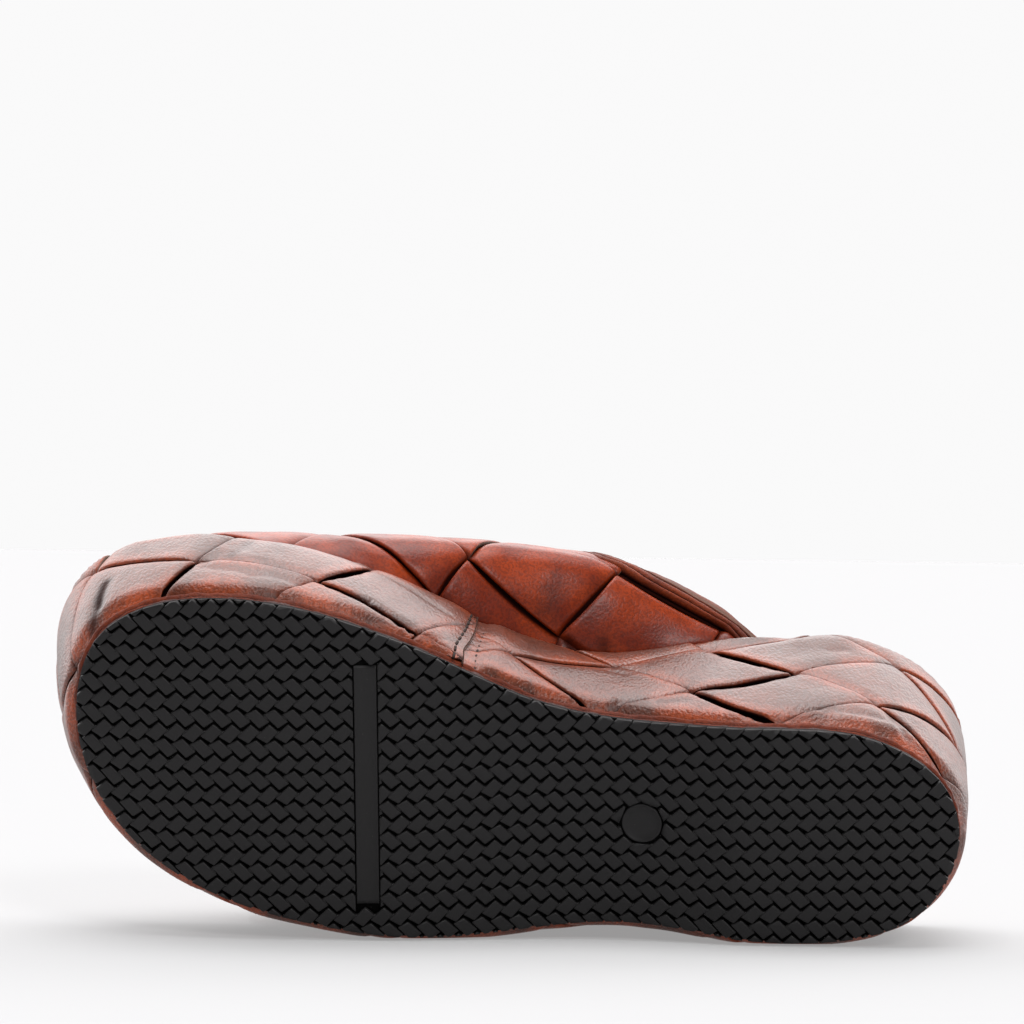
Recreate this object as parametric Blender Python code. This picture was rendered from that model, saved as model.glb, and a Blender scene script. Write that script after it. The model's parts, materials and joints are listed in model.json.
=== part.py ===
"""Woven wedge mule sandal, right shoe, lying on its outer side.

Every piece is modelled in the shoe's own frame, in millimetres: x runs forward to the toe, y to the
inner (medial) side and z up from the sole, with the origin under the middle of the outsole.  One empty,
"shoe", then lays the whole shoe on its outer side and turns millimetres into metres.
World frame: +X from toe to heel, +Y from sole to upper, +Z up.
"""
import math

import bmesh
import bpy
import numpy as np
from mathutils import Matrix, Vector

MM = 0.001
GAP = 0.3                     # clearance between pieces that touch

# ---- outsole and wedge ----
SOLE_THICK = 2.7              # rubber outsole
SEAT_DROP = 3.6               # footbed seat below the widest line of the rim
RIM_CREST = 1.5               # top of the folded rim above its widest line
RIM_WIDTH = 4.6               # folded rim, outside to inside
# Rings over the folded rim, from outside to inside: part of its width, part of its crest, and how far
# a raised strip pushes the ring out and up, as parts of the strip's own relief.
RIM_FOLD = ((0.25, 0.85, 0.6, 0.3), (0.55, 1.0, 0.0, 0.5))
RIM_INSIDE = (0.92, 0.5)      # last ring before the upright inner face: part of width, part of crest
WALL_LIP = 0.9                # how far the wall steps out from the outsole
LIP_HEIGHT = 0.09             # part of the wall's height that the step takes
INSOLE_THICK = 4.2
INSOLE_ROUND = 1.2
INSOLE_EASE = 6.0             # length in which the insole draws in before and behind the vamp
MIDLINE = {"along": (-124.0, 124.0), "across": (-22.0, 12.0)}
RUNGS = 96                    # places round the outline at which pieces that meet share their corners
OUTER_SIDE = 0.9              # facets that face this much to the outer side can carry the laid shoe

# Heights along the shoe: the underside of the outsole is flat under heel and ball.
TOE_SPRING = {"start": 68.0, "length": 57.0, "rise": 11.5, "power": 1.9}
HEEL_SPRING = {"start": -98.0, "length": 27.0, "rise": 2.8}
ARCH = {"back": -62.0, "front": 40.0, "rise": 10.3, "peak": 0.42, "power": 1.5}

# Widest line of the rim above the ground plane, along the shoe.
RIM_HEIGHTS = {
    "along": (-140.0, -100.0, -60.0, -20.0, 20.0, 55.0, 90.0, 125.0, 140.0),
    "height": (62.0, 61.0, 59.0, 52.0, 44.0, 39.0, 40.5, 46.0, 48.0),
}

# Outline of the outsole from the back of the heel round the inner side, the toe and the outer side.
# Columns: along, across, flare (how far the rim stands out beyond the outsole there), and belly (how
# far the wall swells between the two).
OUTLINE = (
    (-123.3, -22.0, 5.0, 0.8),
    (-120.3, -10.0, 9.5, 0.8),
    (-113.0, -1.5, 12.5, 0.8),
    (-95.0, 7.2, 13.0, 0.8),
    (-78.0, 9.2, 12.5, 0.8),
    (-60.0, 9.6, 11.0, 0.8),
    (-28.0, 10.5, 7.2, 0.8),
    (-5.0, 16.0, 6.4, 0.8),
    (20.0, 28.6, 6.0, 0.8),
    (50.0, 41.5, 7.5, 0.8),
    (83.0, 47.2, 8.5, 0.8),
    (107.0, 42.5, 10.5, 0.8),
    (116.5, 35.5, 11.3, 0.8),
    (122.0, 25.0, 9.0, 0.8),
    (122.8, 4.0, 6.5, 0.8),
    (112.0, -18.0, 6.0, 0.6),
    (92.0, -33.5, 6.0, 0.4),
    (60.0, -45.0, 6.0, 0.2),
    (15.0, -50.5, 5.8, 0.2),
    (-30.0, -48.3, 9.0, 0.2),
    (-90.0, -51.5, 8.5, 0.2),
    (-114.0, -42.5, 7.0, 0.5),
)

# ---- woven skin of the wedge ----
# The strips cross at the corners of diamonds.  Each row is one column of corners: its number, then, at
# level 0, its place round the outline and its height above the outsole, and what one level adds to both.
WALL_WEAVE = (
    (-2, 100.0, 36.0, 4.0, 20.0),
    (0, 152.0, 38.0, 6.0, 21.0),
    (1, 180.8, 21.2, 8.7, 15.8),
    (2, 202.6, 14.8, 11.4, 10.9),
    (3, 225.0, 8.5, 10.0, 9.8),
    (4, 247.0, -3.0, 6.7, 16.5),
    (5, 277.0, -13.5, 1.0, 16.5),
    (6, 298.0, -14.0, -3.0, 16.0),
    (7, 310.0, -14.0, -3.0, 16.0),
    (19, 596.9, -9.7, -1.0, 12.7),
    (20, 625.1, -14.5, -3.0, 15.7),
    (21, 649.1, -12.2, -3.3, 13.9),
    (22, 676.1, -14.5, -3.2, 15.8),
    (23, 697.0, -16.6, -2.0, 15.6),
    (24, 728.7, -12.0, -2.0, 15.5),
    (26, 776.0, -14.0, -2.0, 15.5),
)
WALL_JOIN = 157.0             # where the two ends of the woven band are stitched together
JOIN_STEP = 1.0               # the toe end lies on the heel end
JOIN_REACH = 9.0              # length in which the weave is pressed flat on each side of the join
WALL_RELIEF = 1.2             # how far the strips stand up from the grooves
BAND_HEIGHT = 2.5             # plain turned-under band along the bottom of the wall
RELIEF_EASE = 4.0             # height in which the strips rise out of that band

# ---- vamp ----
# Sections of the vamp's outer face, from the toe opening to the instep.
# Columns: along, inner side (across, height), top (across, height), outer side (across, height).
VAMP_SECTIONS = (
    (125.0, 47.0, 60.0, 10.0, 72.0, -33.0, 60.0),
    (100.0, 52.0, 60.0, 8.0, 79.0, -40.0, 60.0),
    (75.0, 53.8, 58.0, 5.0, 86.0, -49.0, 58.0),
    (50.0, 52.8, 58.0, 3.0, 92.0, -57.5, 60.0),
    (25.0, 51.3, 61.0, 1.0, 99.0, -61.0, 64.0),
    (0.0, 47.8, 66.0, -2.0, 107.0, -62.0, 68.0),
    (-20.0, 44.2, 70.0, -5.0, 113.0, -62.0, 71.0),
    (-45.0, 35.5, 76.0, -8.0, 120.0, -62.0, 75.0),
    (-70.0, 22.5, 80.0, -12.0, 127.0, -62.0, 79.0),
    (-95.0, 13.0, 84.0, -15.0, 134.0, -62.0, 83.0),
)
# Front and rear edges of the vamp: part of the way over the foot from the inner side, then along.
VAMP_EDGES = (
    (0.0, 101.0, -78.0),
    (0.12, 100.0, -63.0),
    (0.26, 98.5, -35.0),
    (0.40, 96.0, -16.0),
    (0.55, 92.5, -9.0),
    (0.70, 88.5, -17.0),
    (0.85, 84.0, -40.0),
    (1.0, 80.0, -60.0),
)
VAMP_WALL = 1.4               # leather and lining under the grooves
VAMP_RELIEF = 1.6             # strips above the grooves
VAMP_NECK = 3.6               # the vamp leaves the rim this far above its widest line
VAMP_STAND = 0.7              # clearance of the vamp's upright foot from rim and insole
FLANK_PULL = 0.35             # how soon the flank turns upwards
SHOULDER_PULL = 0.62          # how square the arch is between side and top
SECTION_STEPS = {"foot": 3, "flank": 10, "arch": 14}
# Strips of the vamp: one corner's place (along, over the foot from the inner base) and half a diamond.
VAMP_WEAVE = {"along": 13.6, "girth": 41.0, "half_along": 22.3, "half_girth": 23.0}
BINDING_WIDTH = 7.0
# Section of the folded bindings: distance from the edge of the vamp, height above the grooves.
BINDING_SECTION = (
    (0.7, -1.4), (0.0, -0.6), (0.0, 0.9), (0.9, 1.7), (6.0, 1.7), (7.0, 0.8), (7.0, -0.8), (6.3, -1.4),
)
BINDING_STATIONS = 40
STRIP_EASE = 6.0              # length over the foot in which the strips rise from the vamp's feet
FOOT_STEP = 5.0               # longest straight stretch along the vamp's feet

# ---- weave mesh ----
PAD_STEPS = (0.0, 0.07, 0.35, 0.65, 0.93, 1.0)      # corners across and along the top of a strip
ACROSS_RISE = (0.0, 0.85, 1.0, 1.0, 0.85, 0.0)      # its side edges stand up
ALONG_RISE = (0.0, 0.25, 0.85, 0.85, 0.25, 0.0)     # its ends go down under the crossing strips
SNAP = 0.35                   # corners nearer than this to a cut are moved onto it

# Colour, roughness and density (g/cm3) of each piece.
FINISHES = {
    "outsole": ((0.020, 0.020, 0.021), 0.60, 0.95),
    "wedge": ((0.290, 0.085, 0.035), 0.38, 0.36),
    "insole": ((0.330, 0.130, 0.060), 0.55, 0.45),
    "vamp": ((0.330, 0.075, 0.022), 0.35, 0.90),
    "topline_binding": ((0.200, 0.055, 0.025), 0.42, 0.90),
    "toe_binding": ((0.200, 0.055, 0.025), 0.42, 0.90),
}


# ---------------------------------------------------------------- curves
def spline(knots, values, period=None):
    """Cubic spline through rows of values: closed when a period is given, else with free ends."""
    knots = np.asarray(knots, float)
    values = np.asarray(values, float)
    count = len(knots)
    if period:
        knots = np.append(knots, knots[0] + period)
        values = np.append(values, values[:1], axis=0)
    steps = np.diff(knots)
    slopes = (np.diff(values, axis=0).T / steps).T
    size = count if period else count - 2
    matrix = np.zeros((size, size))
    right = np.zeros((size,) + values.shape[1:])
    for row in range(size):
        here = row if period else row + 1
        before = steps[here - 1]
        after = steps[here] if period or here < len(steps) else 0.0
        matrix[row, row] = 2.0 * (before + after)
        if period or row > 0:
            matrix[row, row - 1] += before
        if period or row < size - 1:
            matrix[row, (row + 1) % size] += after
        right[row] = 6.0 * (slopes[here] - slopes[here - 1])
    bends = np.linalg.solve(matrix, right)
    edge = np.zeros((1,) + values.shape[1:])
    bends = np.concatenate([bends, bends[:1]]) if period else np.concatenate([edge, bends, edge])

    def curve(at):
        at = np.atleast_1d(np.asarray(at, float))
        if period:
            at = (at - knots[0]) % period + knots[0]
        part = np.clip(np.searchsorted(knots, at, side="right") - 1, 0, len(steps) - 1)
        shape = (-1,) + (1,) * (values.ndim - 1)
        step = steps[part].reshape(shape)
        into = (at - knots[part]).reshape(shape)
        left = step - into
        low, high = bends[part], bends[part + 1]
        return ((low * left ** 3 + high * into ** 3) / (6.0 * step)
                + (values[part] / step - low * step / 6.0) * left
                + (values[part + 1] / step - high * step / 6.0) * into)

    return curve


def ease(at):
    at = np.clip(at, 0.0, 1.0)
    return at * at * (3.0 - 2.0 * at)


OUTLINE_XY = np.array([row[:2] for row in OUTLINE])
CHORDS = np.linalg.norm(np.roll(OUTLINE_XY, -1, axis=0) - OUTLINE_XY, axis=1)
OUTLINE_KNOTS = np.concatenate([[0.0], np.cumsum(CHORDS)[:-1]])
PERIMETER = float(CHORDS.sum())
outline_point = spline(OUTLINE_KNOTS, OUTLINE_XY, PERIMETER)
outline_flare = spline(OUTLINE_KNOTS, [row[2] for row in OUTLINE], PERIMETER)
outline_belly = spline(OUTLINE_KNOTS, [row[3] for row in OUTLINE], PERIMETER)
rim_height = spline(RIM_HEIGHTS["along"], RIM_HEIGHTS["height"])


def outward(place):
    """Unit direction away from the shoe at a place round the outline."""
    step = 0.05
    ahead = outline_point(np.add(place, step)) - outline_point(np.subtract(place, step))
    ahead /= np.linalg.norm(ahead, axis=1)[:, None]
    return np.column_stack([-ahead[:, 1], ahead[:, 0]])


def ground(along):
    """Height of the outsole's underside: toe spring, arch and heel spring above the two flats."""
    along = np.asarray(along, float)
    toe = np.clip((along - TOE_SPRING["start"]) / TOE_SPRING["length"], 0.0, None)
    heel = np.clip((HEEL_SPRING["start"] - along) / HEEL_SPRING["length"], 0.0, None)
    arch = np.clip((along - ARCH["back"]) / (ARCH["front"] - ARCH["back"]), 0.0, 1.0)
    skew = math.log(0.5) / math.log(ARCH["peak"])
    return (TOE_SPRING["rise"] * toe ** TOE_SPRING["power"]
            + HEEL_SPRING["rise"] * heel ** 2
            + ARCH["rise"] * np.sin(np.pi * arch ** skew) ** ARCH["power"])


def seat(along):
    """Height of the wedge's seat, on which insole and vamp stand."""
    return rim_height(along) - SEAT_DROP


# ---------------------------------------------------------------- the wedge's wall
def wall_height(place):
    edge = outline_point(place)
    top = edge + outward(place) * outline_flare(place)[:, None]
    return rim_height(top[:, 0]) - ground(edge[:, 0]) - SOLE_THICK - GAP


def wall_point(place, part, relief=0.0):
    """Point of the wall: place round the outline, part of the way up (0 to 1), relief outwards."""
    place = np.atleast_1d(place)
    part = np.atleast_1d(part)
    edge = outline_point(place)
    out = outward(place)
    stand = (outline_flare(place) * part + outline_belly(place) * 4.0 * part * (1.0 - part)
             + WALL_LIP * (1.0 - np.exp(-part / LIP_HEIGHT)) + relief)
    low = ground(edge[:, 0]) + SOLE_THICK + GAP
    return np.column_stack([edge + out * stand[:, None], low + wall_height(place) * part])


def rim_point(place, inward, rise):
    """Point of the folded rim, measured from the top of the wall."""
    base = wall_point(place, 1.0)
    out = outward(place)
    return np.column_stack([base[:, :2] - out * np.reshape(inward, (-1, 1)), base[:, 2] + rise])


# ---------------------------------------------------------------- woven sheets
class Sheet:
    """Faces over two surface coordinates, with a relief and the cuts that each corner lies on."""

    def __init__(self):
        self.corners = []
        self.marks = []
        self.faces = []

    def add(self, corner, marks=()):
        self.corners.append(tuple(corner))
        self.marks.append(set(marks))
        return len(self.corners) - 1

    def cut(self, distance, mark):
        """Keep the side where distance (mm) is positive, with clean new edges along its zero line."""
        away = []
        for index, corner in enumerate(self.corners):
            value = distance(corner[0], corner[1])
            if abs(value) < SNAP:
                self.corners[index] = slide(corner, distance)
                self.marks[index].add(mark)
                value = 0.0
            away.append(value)
        crossings = {}
        kept = []
        for face in self.faces:
            ring = []
            for one, two in zip(face, face[1:] + face[:1]):
                if away[one] >= 0.0:
                    ring.append(one)
                if away[one] * away[two] < 0.0:
                    key = (min(one, two), max(one, two))
                    if key not in crossings:
                        crossings[key] = self.cross(key, away, mark)
                    ring.append(crossings[key])
            inside = any(corner < len(away) and away[corner] > 0.0 for corner in ring)
            if inside and len(ring) > 2:
                kept.append(tuple(ring))
        self.faces = kept

    def cross(self, key, away, mark):
        one, two = key
        part = away[one] / (away[one] - away[two])
        start, end = self.corners[one], self.corners[two]
        corner = [a + (b - a) * part for a, b in zip(start, end)]
        return self.add(corner, (self.marks[one] & self.marks[two]) | {mark})

    def tidy(self):
        """Drop the corners that no face uses."""
        used = sorted({corner for face in self.faces for corner in face})
        place = {corner: number for number, corner in enumerate(used)}
        self.corners = [self.corners[corner] for corner in used]
        self.marks = [self.marks[corner] for corner in used]
        self.faces = [tuple(place[corner] for corner in face) for face in self.faces]

    def along_cut(self, mark, order):
        """Corners on one cut, sorted by a coordinate."""
        found = [index for index, marks in enumerate(self.marks) if mark in marks]
        return sorted(found, key=lambda index: self.corners[index][order])

    def refine(self, mark, step):
        """Put more corners on a cut, so that none lie further apart than step along it."""
        chain = self.along_cut(mark, 0)
        for one, two in zip(chain, chain[1:]):
            start, end = self.corners[one], self.corners[two]
            count = int((end[0] - start[0]) / step)
            parts = [number / (count + 1) for number in range(1, count + 1)]
            new = [self.add([a + (b - a) * part for a, b in zip(start, end)], {mark}) for part in parts]
            for index, face in enumerate(self.faces):
                for a, b in zip(face, face[1:] + face[:1]):
                    if {a, b} == {one, two}:
                        at = face.index(a) + 1
                        self.faces[index] = face[:at] + tuple(new if a == one else new[::-1]) + face[at:]

    def border(self):
        """Directed edges that only one face uses."""
        edges = {(a, b) for face in self.faces for a, b in zip(face, face[1:] + face[:1])}
        return [(a, b) for a, b in edges if (b, a) not in edges]


def slide(corner, distance):
    """Move a corner onto the zero line of distance."""
    x, y, relief = corner
    step = 0.05
    for _ in range(3):
        value = distance(x, y)
        slope_x = (distance(x + step, y) - value) / step
        slope_y = (distance(x, y + step) - value) / step
        size = max(slope_x ** 2 + slope_y ** 2, 1e-6)
        x -= value * slope_x / size
        y -= value * slope_y / size
    return (x, y, relief)


def weave(cells, place, rising_parity):
    """Sheet of woven strips.  place turns strip coordinates into surface ones.

    Each cell is where one strip lies on top: its two side edges stand up, and its ends go down under
    the strips that cross it.  The cells whose two numbers add up to rising_parity show a strip of the
    first direction, the others one of the second.
    """
    sheet = Sheet()
    known = {}
    for i, j in cells:
        first = (i + j) % 2 == rising_parity
        grid = []
        for m, u in enumerate(PAD_STEPS):
            row = []
            for n, v in enumerate(PAD_STEPS):
                key = (round(i + u, 4), round(j + v, 4))
                if key not in known:
                    rise = ACROSS_RISE[m] * ALONG_RISE[n] if first else ACROSS_RISE[n] * ALONG_RISE[m]
                    known[key] = sheet.add((*place(i + u, j + v), rise))
                row.append(known[key])
            grid.append(row)
        last = len(PAD_STEPS) - 1
        for m in range(last):
            for n in range(last):
                sheet.faces.append((grid[m][n], grid[m + 1][n], grid[m + 1][n + 1], grid[m][n + 1]))
    return sheet


def wall_weave_place(first, second):
    """Strip coordinates of the wedge's skin to place round the outline and height in mm."""
    column = first + second
    level = first - second
    table = np.array(WALL_WEAVE)
    place, height, lean, step = (np.interp(column, table[:, 0], table[:, k]) for k in range(1, 5))
    return place + lean * level, height + step * level


def lattice(sums, differences):
    """Cells whose two numbers have their sum and their difference (first less second) in two ranges."""
    return [((total + apart) // 2, (total - apart) // 2) for total in sums for apart in differences
            if (total + apart) % 2 == 0]


def wall_sheet():
    sheet = weave(lattice(range(-2, 26), range(-4, 7)), wall_weave_place, 1)
    sheet.cut(lambda place, height: place - WALL_JOIN, "start")
    sheet.cut(lambda place, height: WALL_JOIN + PERIMETER - place, "end")
    sheet.cut(lambda place, height: height - BAND_HEIGHT, "bottom")
    sheet.cut(lambda place, height: float(wall_height(place)[0]) - height, "rim")
    sheet.tidy()
    return sheet


# ---------------------------------------------------------------- mesh helpers
class Solid:
    """Corners and faces of one closed body in shoe millimetres."""

    def __init__(self):
        self.points = []
        self.faces = []

    def add(self, points):
        """Add rows of points and return their numbers."""
        first = len(self.points)
        self.points.extend(tuple(float(value) for value in point) for point in points)
        return list(range(first, len(self.points)))

    def band(self, one, two):
        """Quads between two closed rings of equal length."""
        for k in range(len(one)):
            n = (k + 1) % len(one)
            self.faces.append((one[k], one[n], two[n], two[k]))

    def zip(self, one, two, keys_one, keys_two):
        """Triangles between two chains of corners that are sorted by their keys."""
        i, j = 0, 0
        while i < len(one) - 1 or j < len(two) - 1:
            step_one = j == len(two) - 1
            if i < len(one) - 1 and j < len(two) - 1:
                step_one = keys_one[i + 1] < keys_two[j + 1]
            if step_one:
                corners = (one[i], one[i + 1], two[j])
                i += 1
            else:
                corners = (one[i], two[j + 1], two[j])
                j += 1
            if len(set(corners)) == 3:
                self.faces.append(corners)

    def cap(self, ring):
        """Close a ring with rungs across the shoe, from its rearmost to its foremost corner."""
        along = [self.points[corner][0] for corner in ring]
        turn = ring[along.index(min(along)):] + ring[:along.index(min(along))]
        along = [self.points[corner][0] for corner in turn]
        top = along.index(max(along))
        one, two = turn[:top + 1], [turn[0]] + turn[:top - 1:-1]
        self.zip(one, two, [self.points[k][0] for k in one], [self.points[k][0] for k in two])

    def build(self, name, parent, collection):
        """Blender object of this solid, faces pointing out, with its own material."""
        mesh = bpy.data.meshes.new(name)
        mesh.from_pydata(self.points, [], self.faces)
        work = bmesh.new()
        work.from_mesh(mesh)
        bmesh.ops.triangulate(work, faces=work.faces)
        bmesh.ops.recalc_face_normals(work, faces=work.faces)
        work.to_mesh(mesh)
        work.free()
        colour, roughness, _ = FINISHES[name]
        mesh.materials.append(finish(name, colour, roughness))
        body = bpy.data.objects.new(name, mesh)
        collection.objects.link(body)
        body.parent = parent
        return body


def finish(name, colour, roughness):
    material = bpy.data.materials.new(name)
    material.use_nodes = True
    shader = material.node_tree.nodes["Principled BSDF"]
    shader.inputs["Base Color"].default_value = (*colour, 1.0)
    shader.inputs["Roughness"].default_value = roughness
    material.diffuse_color = (*colour, 1.0)
    return material


# ---------------------------------------------------------------- pieces
def rung_places():
    """Places round the outline that start at the join of the woven band."""
    return WALL_JOIN + np.arange(RUNGS) * PERIMETER / RUNGS


def make_outsole():
    solid = Solid()
    edge = outline_point(rung_places())
    low = ground(edge[:, 0])
    under = solid.add(np.column_stack([edge, low]))
    over = solid.add(np.column_stack([edge, low + SOLE_THICK]))
    solid.band(under, over)
    solid.cap(under)
    solid.cap(over)
    return solid


def make_wedge():
    sheet = wall_sheet()
    places = np.array([corner[0] for corner in sheet.corners])
    heights = np.array([corner[1] for corner in sheet.corners])
    rises = np.array([corner[2] for corner in sheet.corners])
    lift = wall_relief(places, heights, rises)
    solid = Solid()
    skin = solid.add(wall_point(places, heights / wall_height(places), lift))
    solid.faces.extend(tuple(skin[corner] for corner in face) for face in sheet.faces)
    start = [skin[k] for k in sheet.along_cut("start", 1)]
    end = [skin[k] for k in sheet.along_cut("end", 1)]
    merge_ends(solid, start, end)
    regular = rung_places()
    bottom = sheet.along_cut("bottom", 0)
    foot = solid.add(wall_point(regular, np.zeros(RUNGS)))
    close_band(solid, [skin[k] for k in bottom], places[bottom], foot, regular)
    solid.cap(foot)
    rim = sheet.along_cut("rim", 0)
    ring = [skin[k] for k in rim[:-1]]
    rim_places = places[rim[:-1]]
    lift = lift[rim[:-1]]
    for width, crest, out, up in RIM_FOLD:
        inward = width * RIM_WIDTH - out * lift
        inner = solid.add(rim_point(rim_places, inward, crest * RIM_CREST + up * lift))
        solid.band(ring, inner)
        ring = inner
    width, crest = RIM_INSIDE
    inner = solid.add(rim_point(regular, np.full(RUNGS, width * RIM_WIDTH), crest * RIM_CREST))
    close_band(solid, ring + ring[:1], np.append(rim_places, WALL_JOIN + PERIMETER), inner, regular)
    foot = rim_point(regular, np.full(RUNGS, RIM_WIDTH), 0.0)
    foot = solid.add(np.column_stack([foot[:, :2], seat(foot[:, 0])]))
    solid.band(inner, foot)
    solid.cap(foot)
    return solid


def wall_relief(places, heights, rises):
    """How far the skin stands out: strips, plain band along the bottom, and the lapped join."""
    above = ease((heights - BAND_HEIGHT) / RELIEF_EASE)
    toe_end = ease((places - WALL_JOIN) / JOIN_REACH)
    heel_end = ease((WALL_JOIN + PERIMETER - places) / JOIN_REACH)
    strips = WALL_RELIEF * rises * toe_end * heel_end
    return above * np.maximum(strips, JOIN_STEP * (1.0 - toe_end))


def merge_ends(solid, start, end):
    """Join the two ends of the woven band, whose first and last corners coincide."""
    swap = {end[0]: start[0], end[-1]: start[-1]}
    solid.faces = [tuple(swap.get(corner, corner) for corner in face) for face in solid.faces]
    end = [swap.get(corner, corner) for corner in end]
    heights = [[solid.points[corner][2] for corner in chain] for chain in (start, end)]
    solid.zip(start, end, *heights)


def close_band(solid, free, free_places, ring, ring_places):
    """Triangles between a ring of freely placed corners and a ring of regular ones."""
    free = list(free[:-1]) + [free[0]]
    solid.zip(free, list(ring) + [ring[0]], list(free_places),
              list(ring_places) + [ring_places[0] + PERIMETER])


# ---------------------------------------------------------------- the vamp's surface
def inner_line(inward):
    """The line inside the rim on each side of the shoe, as across over along."""
    places = np.linspace(0.0, PERIMETER, 721)
    line = rim_point(places, np.full(len(places), inward), 0.0)[:-1, :2]
    line = np.roll(line, -int(np.argmin(line[:, 0])), axis=0)
    tip = int(np.argmax(line[:, 0]))
    inner, outer = line[:tip + 1], line[tip:][::-1]
    return (lambda along: np.interp(along, inner[:, 0], inner[:, 1]),
            lambda along: np.interp(along, outer[:, 0], outer[:, 1]))


def bezier(points, steps):
    """Points on a Bezier curve, without its first one."""
    points = np.array(points, float)
    at = np.linspace(0.0, 1.0, steps + 1)[1:, None]
    degree = len(points) - 1
    return sum(math.comb(degree, k) * at ** k * (1.0 - at) ** (degree - k) * points[k]
               for k in range(degree + 1))


def half_section(base, neck, side, top):
    """Half of a vamp section from the seat to the top, as (across, height)."""
    turn = (side[0], neck[1] + FLANK_PULL * (side[1] - neck[1]))
    steep = (side[0], side[1] + SHOULDER_PULL * (top[1] - side[1]))
    flat = (top[0] + SHOULDER_PULL * (side[0] - top[0]), top[1])
    return np.vstack([[base], bezier([base, neck], SECTION_STEPS["foot"]),
                      bezier([neck, turn, side], SECTION_STEPS["flank"]),
                      bezier([side, steep, flat, top], SECTION_STEPS["arch"])])


class VampSurface:
    """Outer face of the vamp over along and girth (mm over the foot from the inner base)."""

    STEP = 1.5                # spacing of the grid that stands for the surface, both ways

    def __init__(self):
        sections = spline([row[0] for row in reversed(VAMP_SECTIONS)],
                          [row[1:] for row in reversed(VAMP_SECTIONS)])
        inner, outer = inner_line(RIM_WIDTH + VAMP_STAND)
        self.first = VAMP_SECTIONS[-1][0]
        self.stations = np.arange(self.first, VAMP_SECTIONS[0][0] + 0.1, self.STEP)
        rows, self.lengths, self.necks = [], [], []
        for along in self.stations:
            shape = sections(along)[0]
            floor = float(seat(along)[0]) + GAP
            rise = float(rim_height(along)[0]) + VAMP_NECK
            halves = []
            for line, side in ((inner, shape[0:2]), (outer, shape[4:6])):
                foot = float(line(along))
                halves.append(half_section((foot, floor), (foot, rise), side, shape[2:4]))
            row = np.vstack([halves[0], halves[1][-2::-1]])
            girth = np.append(0.0, np.cumsum(np.linalg.norm(np.diff(row, axis=0), axis=1)))
            rows.append((girth, row))
            self.lengths.append(girth[-1])
            self.necks.append(rise - floor)
        self.count = int(max(self.lengths) / self.STEP) + 2
        girths = np.arange(self.count) * self.STEP
        self.grid = np.array([np.column_stack([np.interp(girths, girth, row[:, k]) for k in (0, 1)])
                              for girth, row in rows])
        self.lengths = np.array(self.lengths)
        self.necks = np.array(self.necks)

    def length(self, along):
        """Girth of the section from base to base."""
        return np.interp(along, self.stations, self.lengths)

    def neck(self, along):
        return np.interp(along, self.stations, self.necks)

    def plain(self, along, girth):
        i = np.clip((along - self.first) / self.STEP, 0.0, len(self.stations) - 1.001)
        j = np.clip(girth / self.STEP, 0.0, self.count - 1.001)
        low_i, low_j = i.astype(int), j.astype(int)
        u, v = (i - low_i)[:, None], (j - low_j)[:, None]
        grid = self.grid
        flat = ((grid[low_i, low_j] * (1 - u) + grid[low_i + 1, low_j] * u) * (1 - v)
                + (grid[low_i, low_j + 1] * (1 - u) + grid[low_i + 1, low_j + 1] * u) * v)
        return np.column_stack([along, flat])

    def point(self, along, girth, offset):
        """Points at an offset outwards from the surface."""
        along = np.asarray(along, float)
        girth = np.clip(np.asarray(girth, float), 0.0, self.length(along))
        reach = self.STEP
        ahead = self.plain(along + reach, girth) - self.plain(along - reach, girth)
        over = (self.plain(along, np.minimum(girth + reach, self.length(along)))
                - self.plain(along, np.maximum(girth - reach, 0.0)))
        normal = np.cross(over, ahead)
        normal /= np.linalg.norm(normal, axis=1)[:, None]
        level = np.minimum(girth, self.length(along) - girth) < self.neck(along) - reach
        normal[level, 0] = 0.0
        normal[level, 2] = 0.0
        normal /= np.linalg.norm(normal, axis=1)[:, None]
        return self.plain(along, girth) + normal * np.reshape(offset, (-1, 1))


def vamp_edges():
    """Front and rear edges of the vamp over the part of the way over the foot."""
    parts = [row[0] for row in VAMP_EDGES]
    front = spline(parts, [row[1] for row in VAMP_EDGES])
    rear = spline(parts, [row[2] for row in VAMP_EDGES])
    return front, rear


def vamp_weave_place(first, second):
    column = first + second - 1.0
    level = second - first
    return (VAMP_WEAVE["along"] - VAMP_WEAVE["half_along"] * column,
            VAMP_WEAVE["girth"] + VAMP_WEAVE["half_girth"] * (level - 1.0))


def strip_fade(surface, along, girth):
    """0 on the upright feet of the vamp, 1 where its strips stand up in full."""
    low = np.minimum(girth, surface.length(along) - girth)
    return ease((low - surface.neck(along)) / STRIP_EASE)


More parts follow.
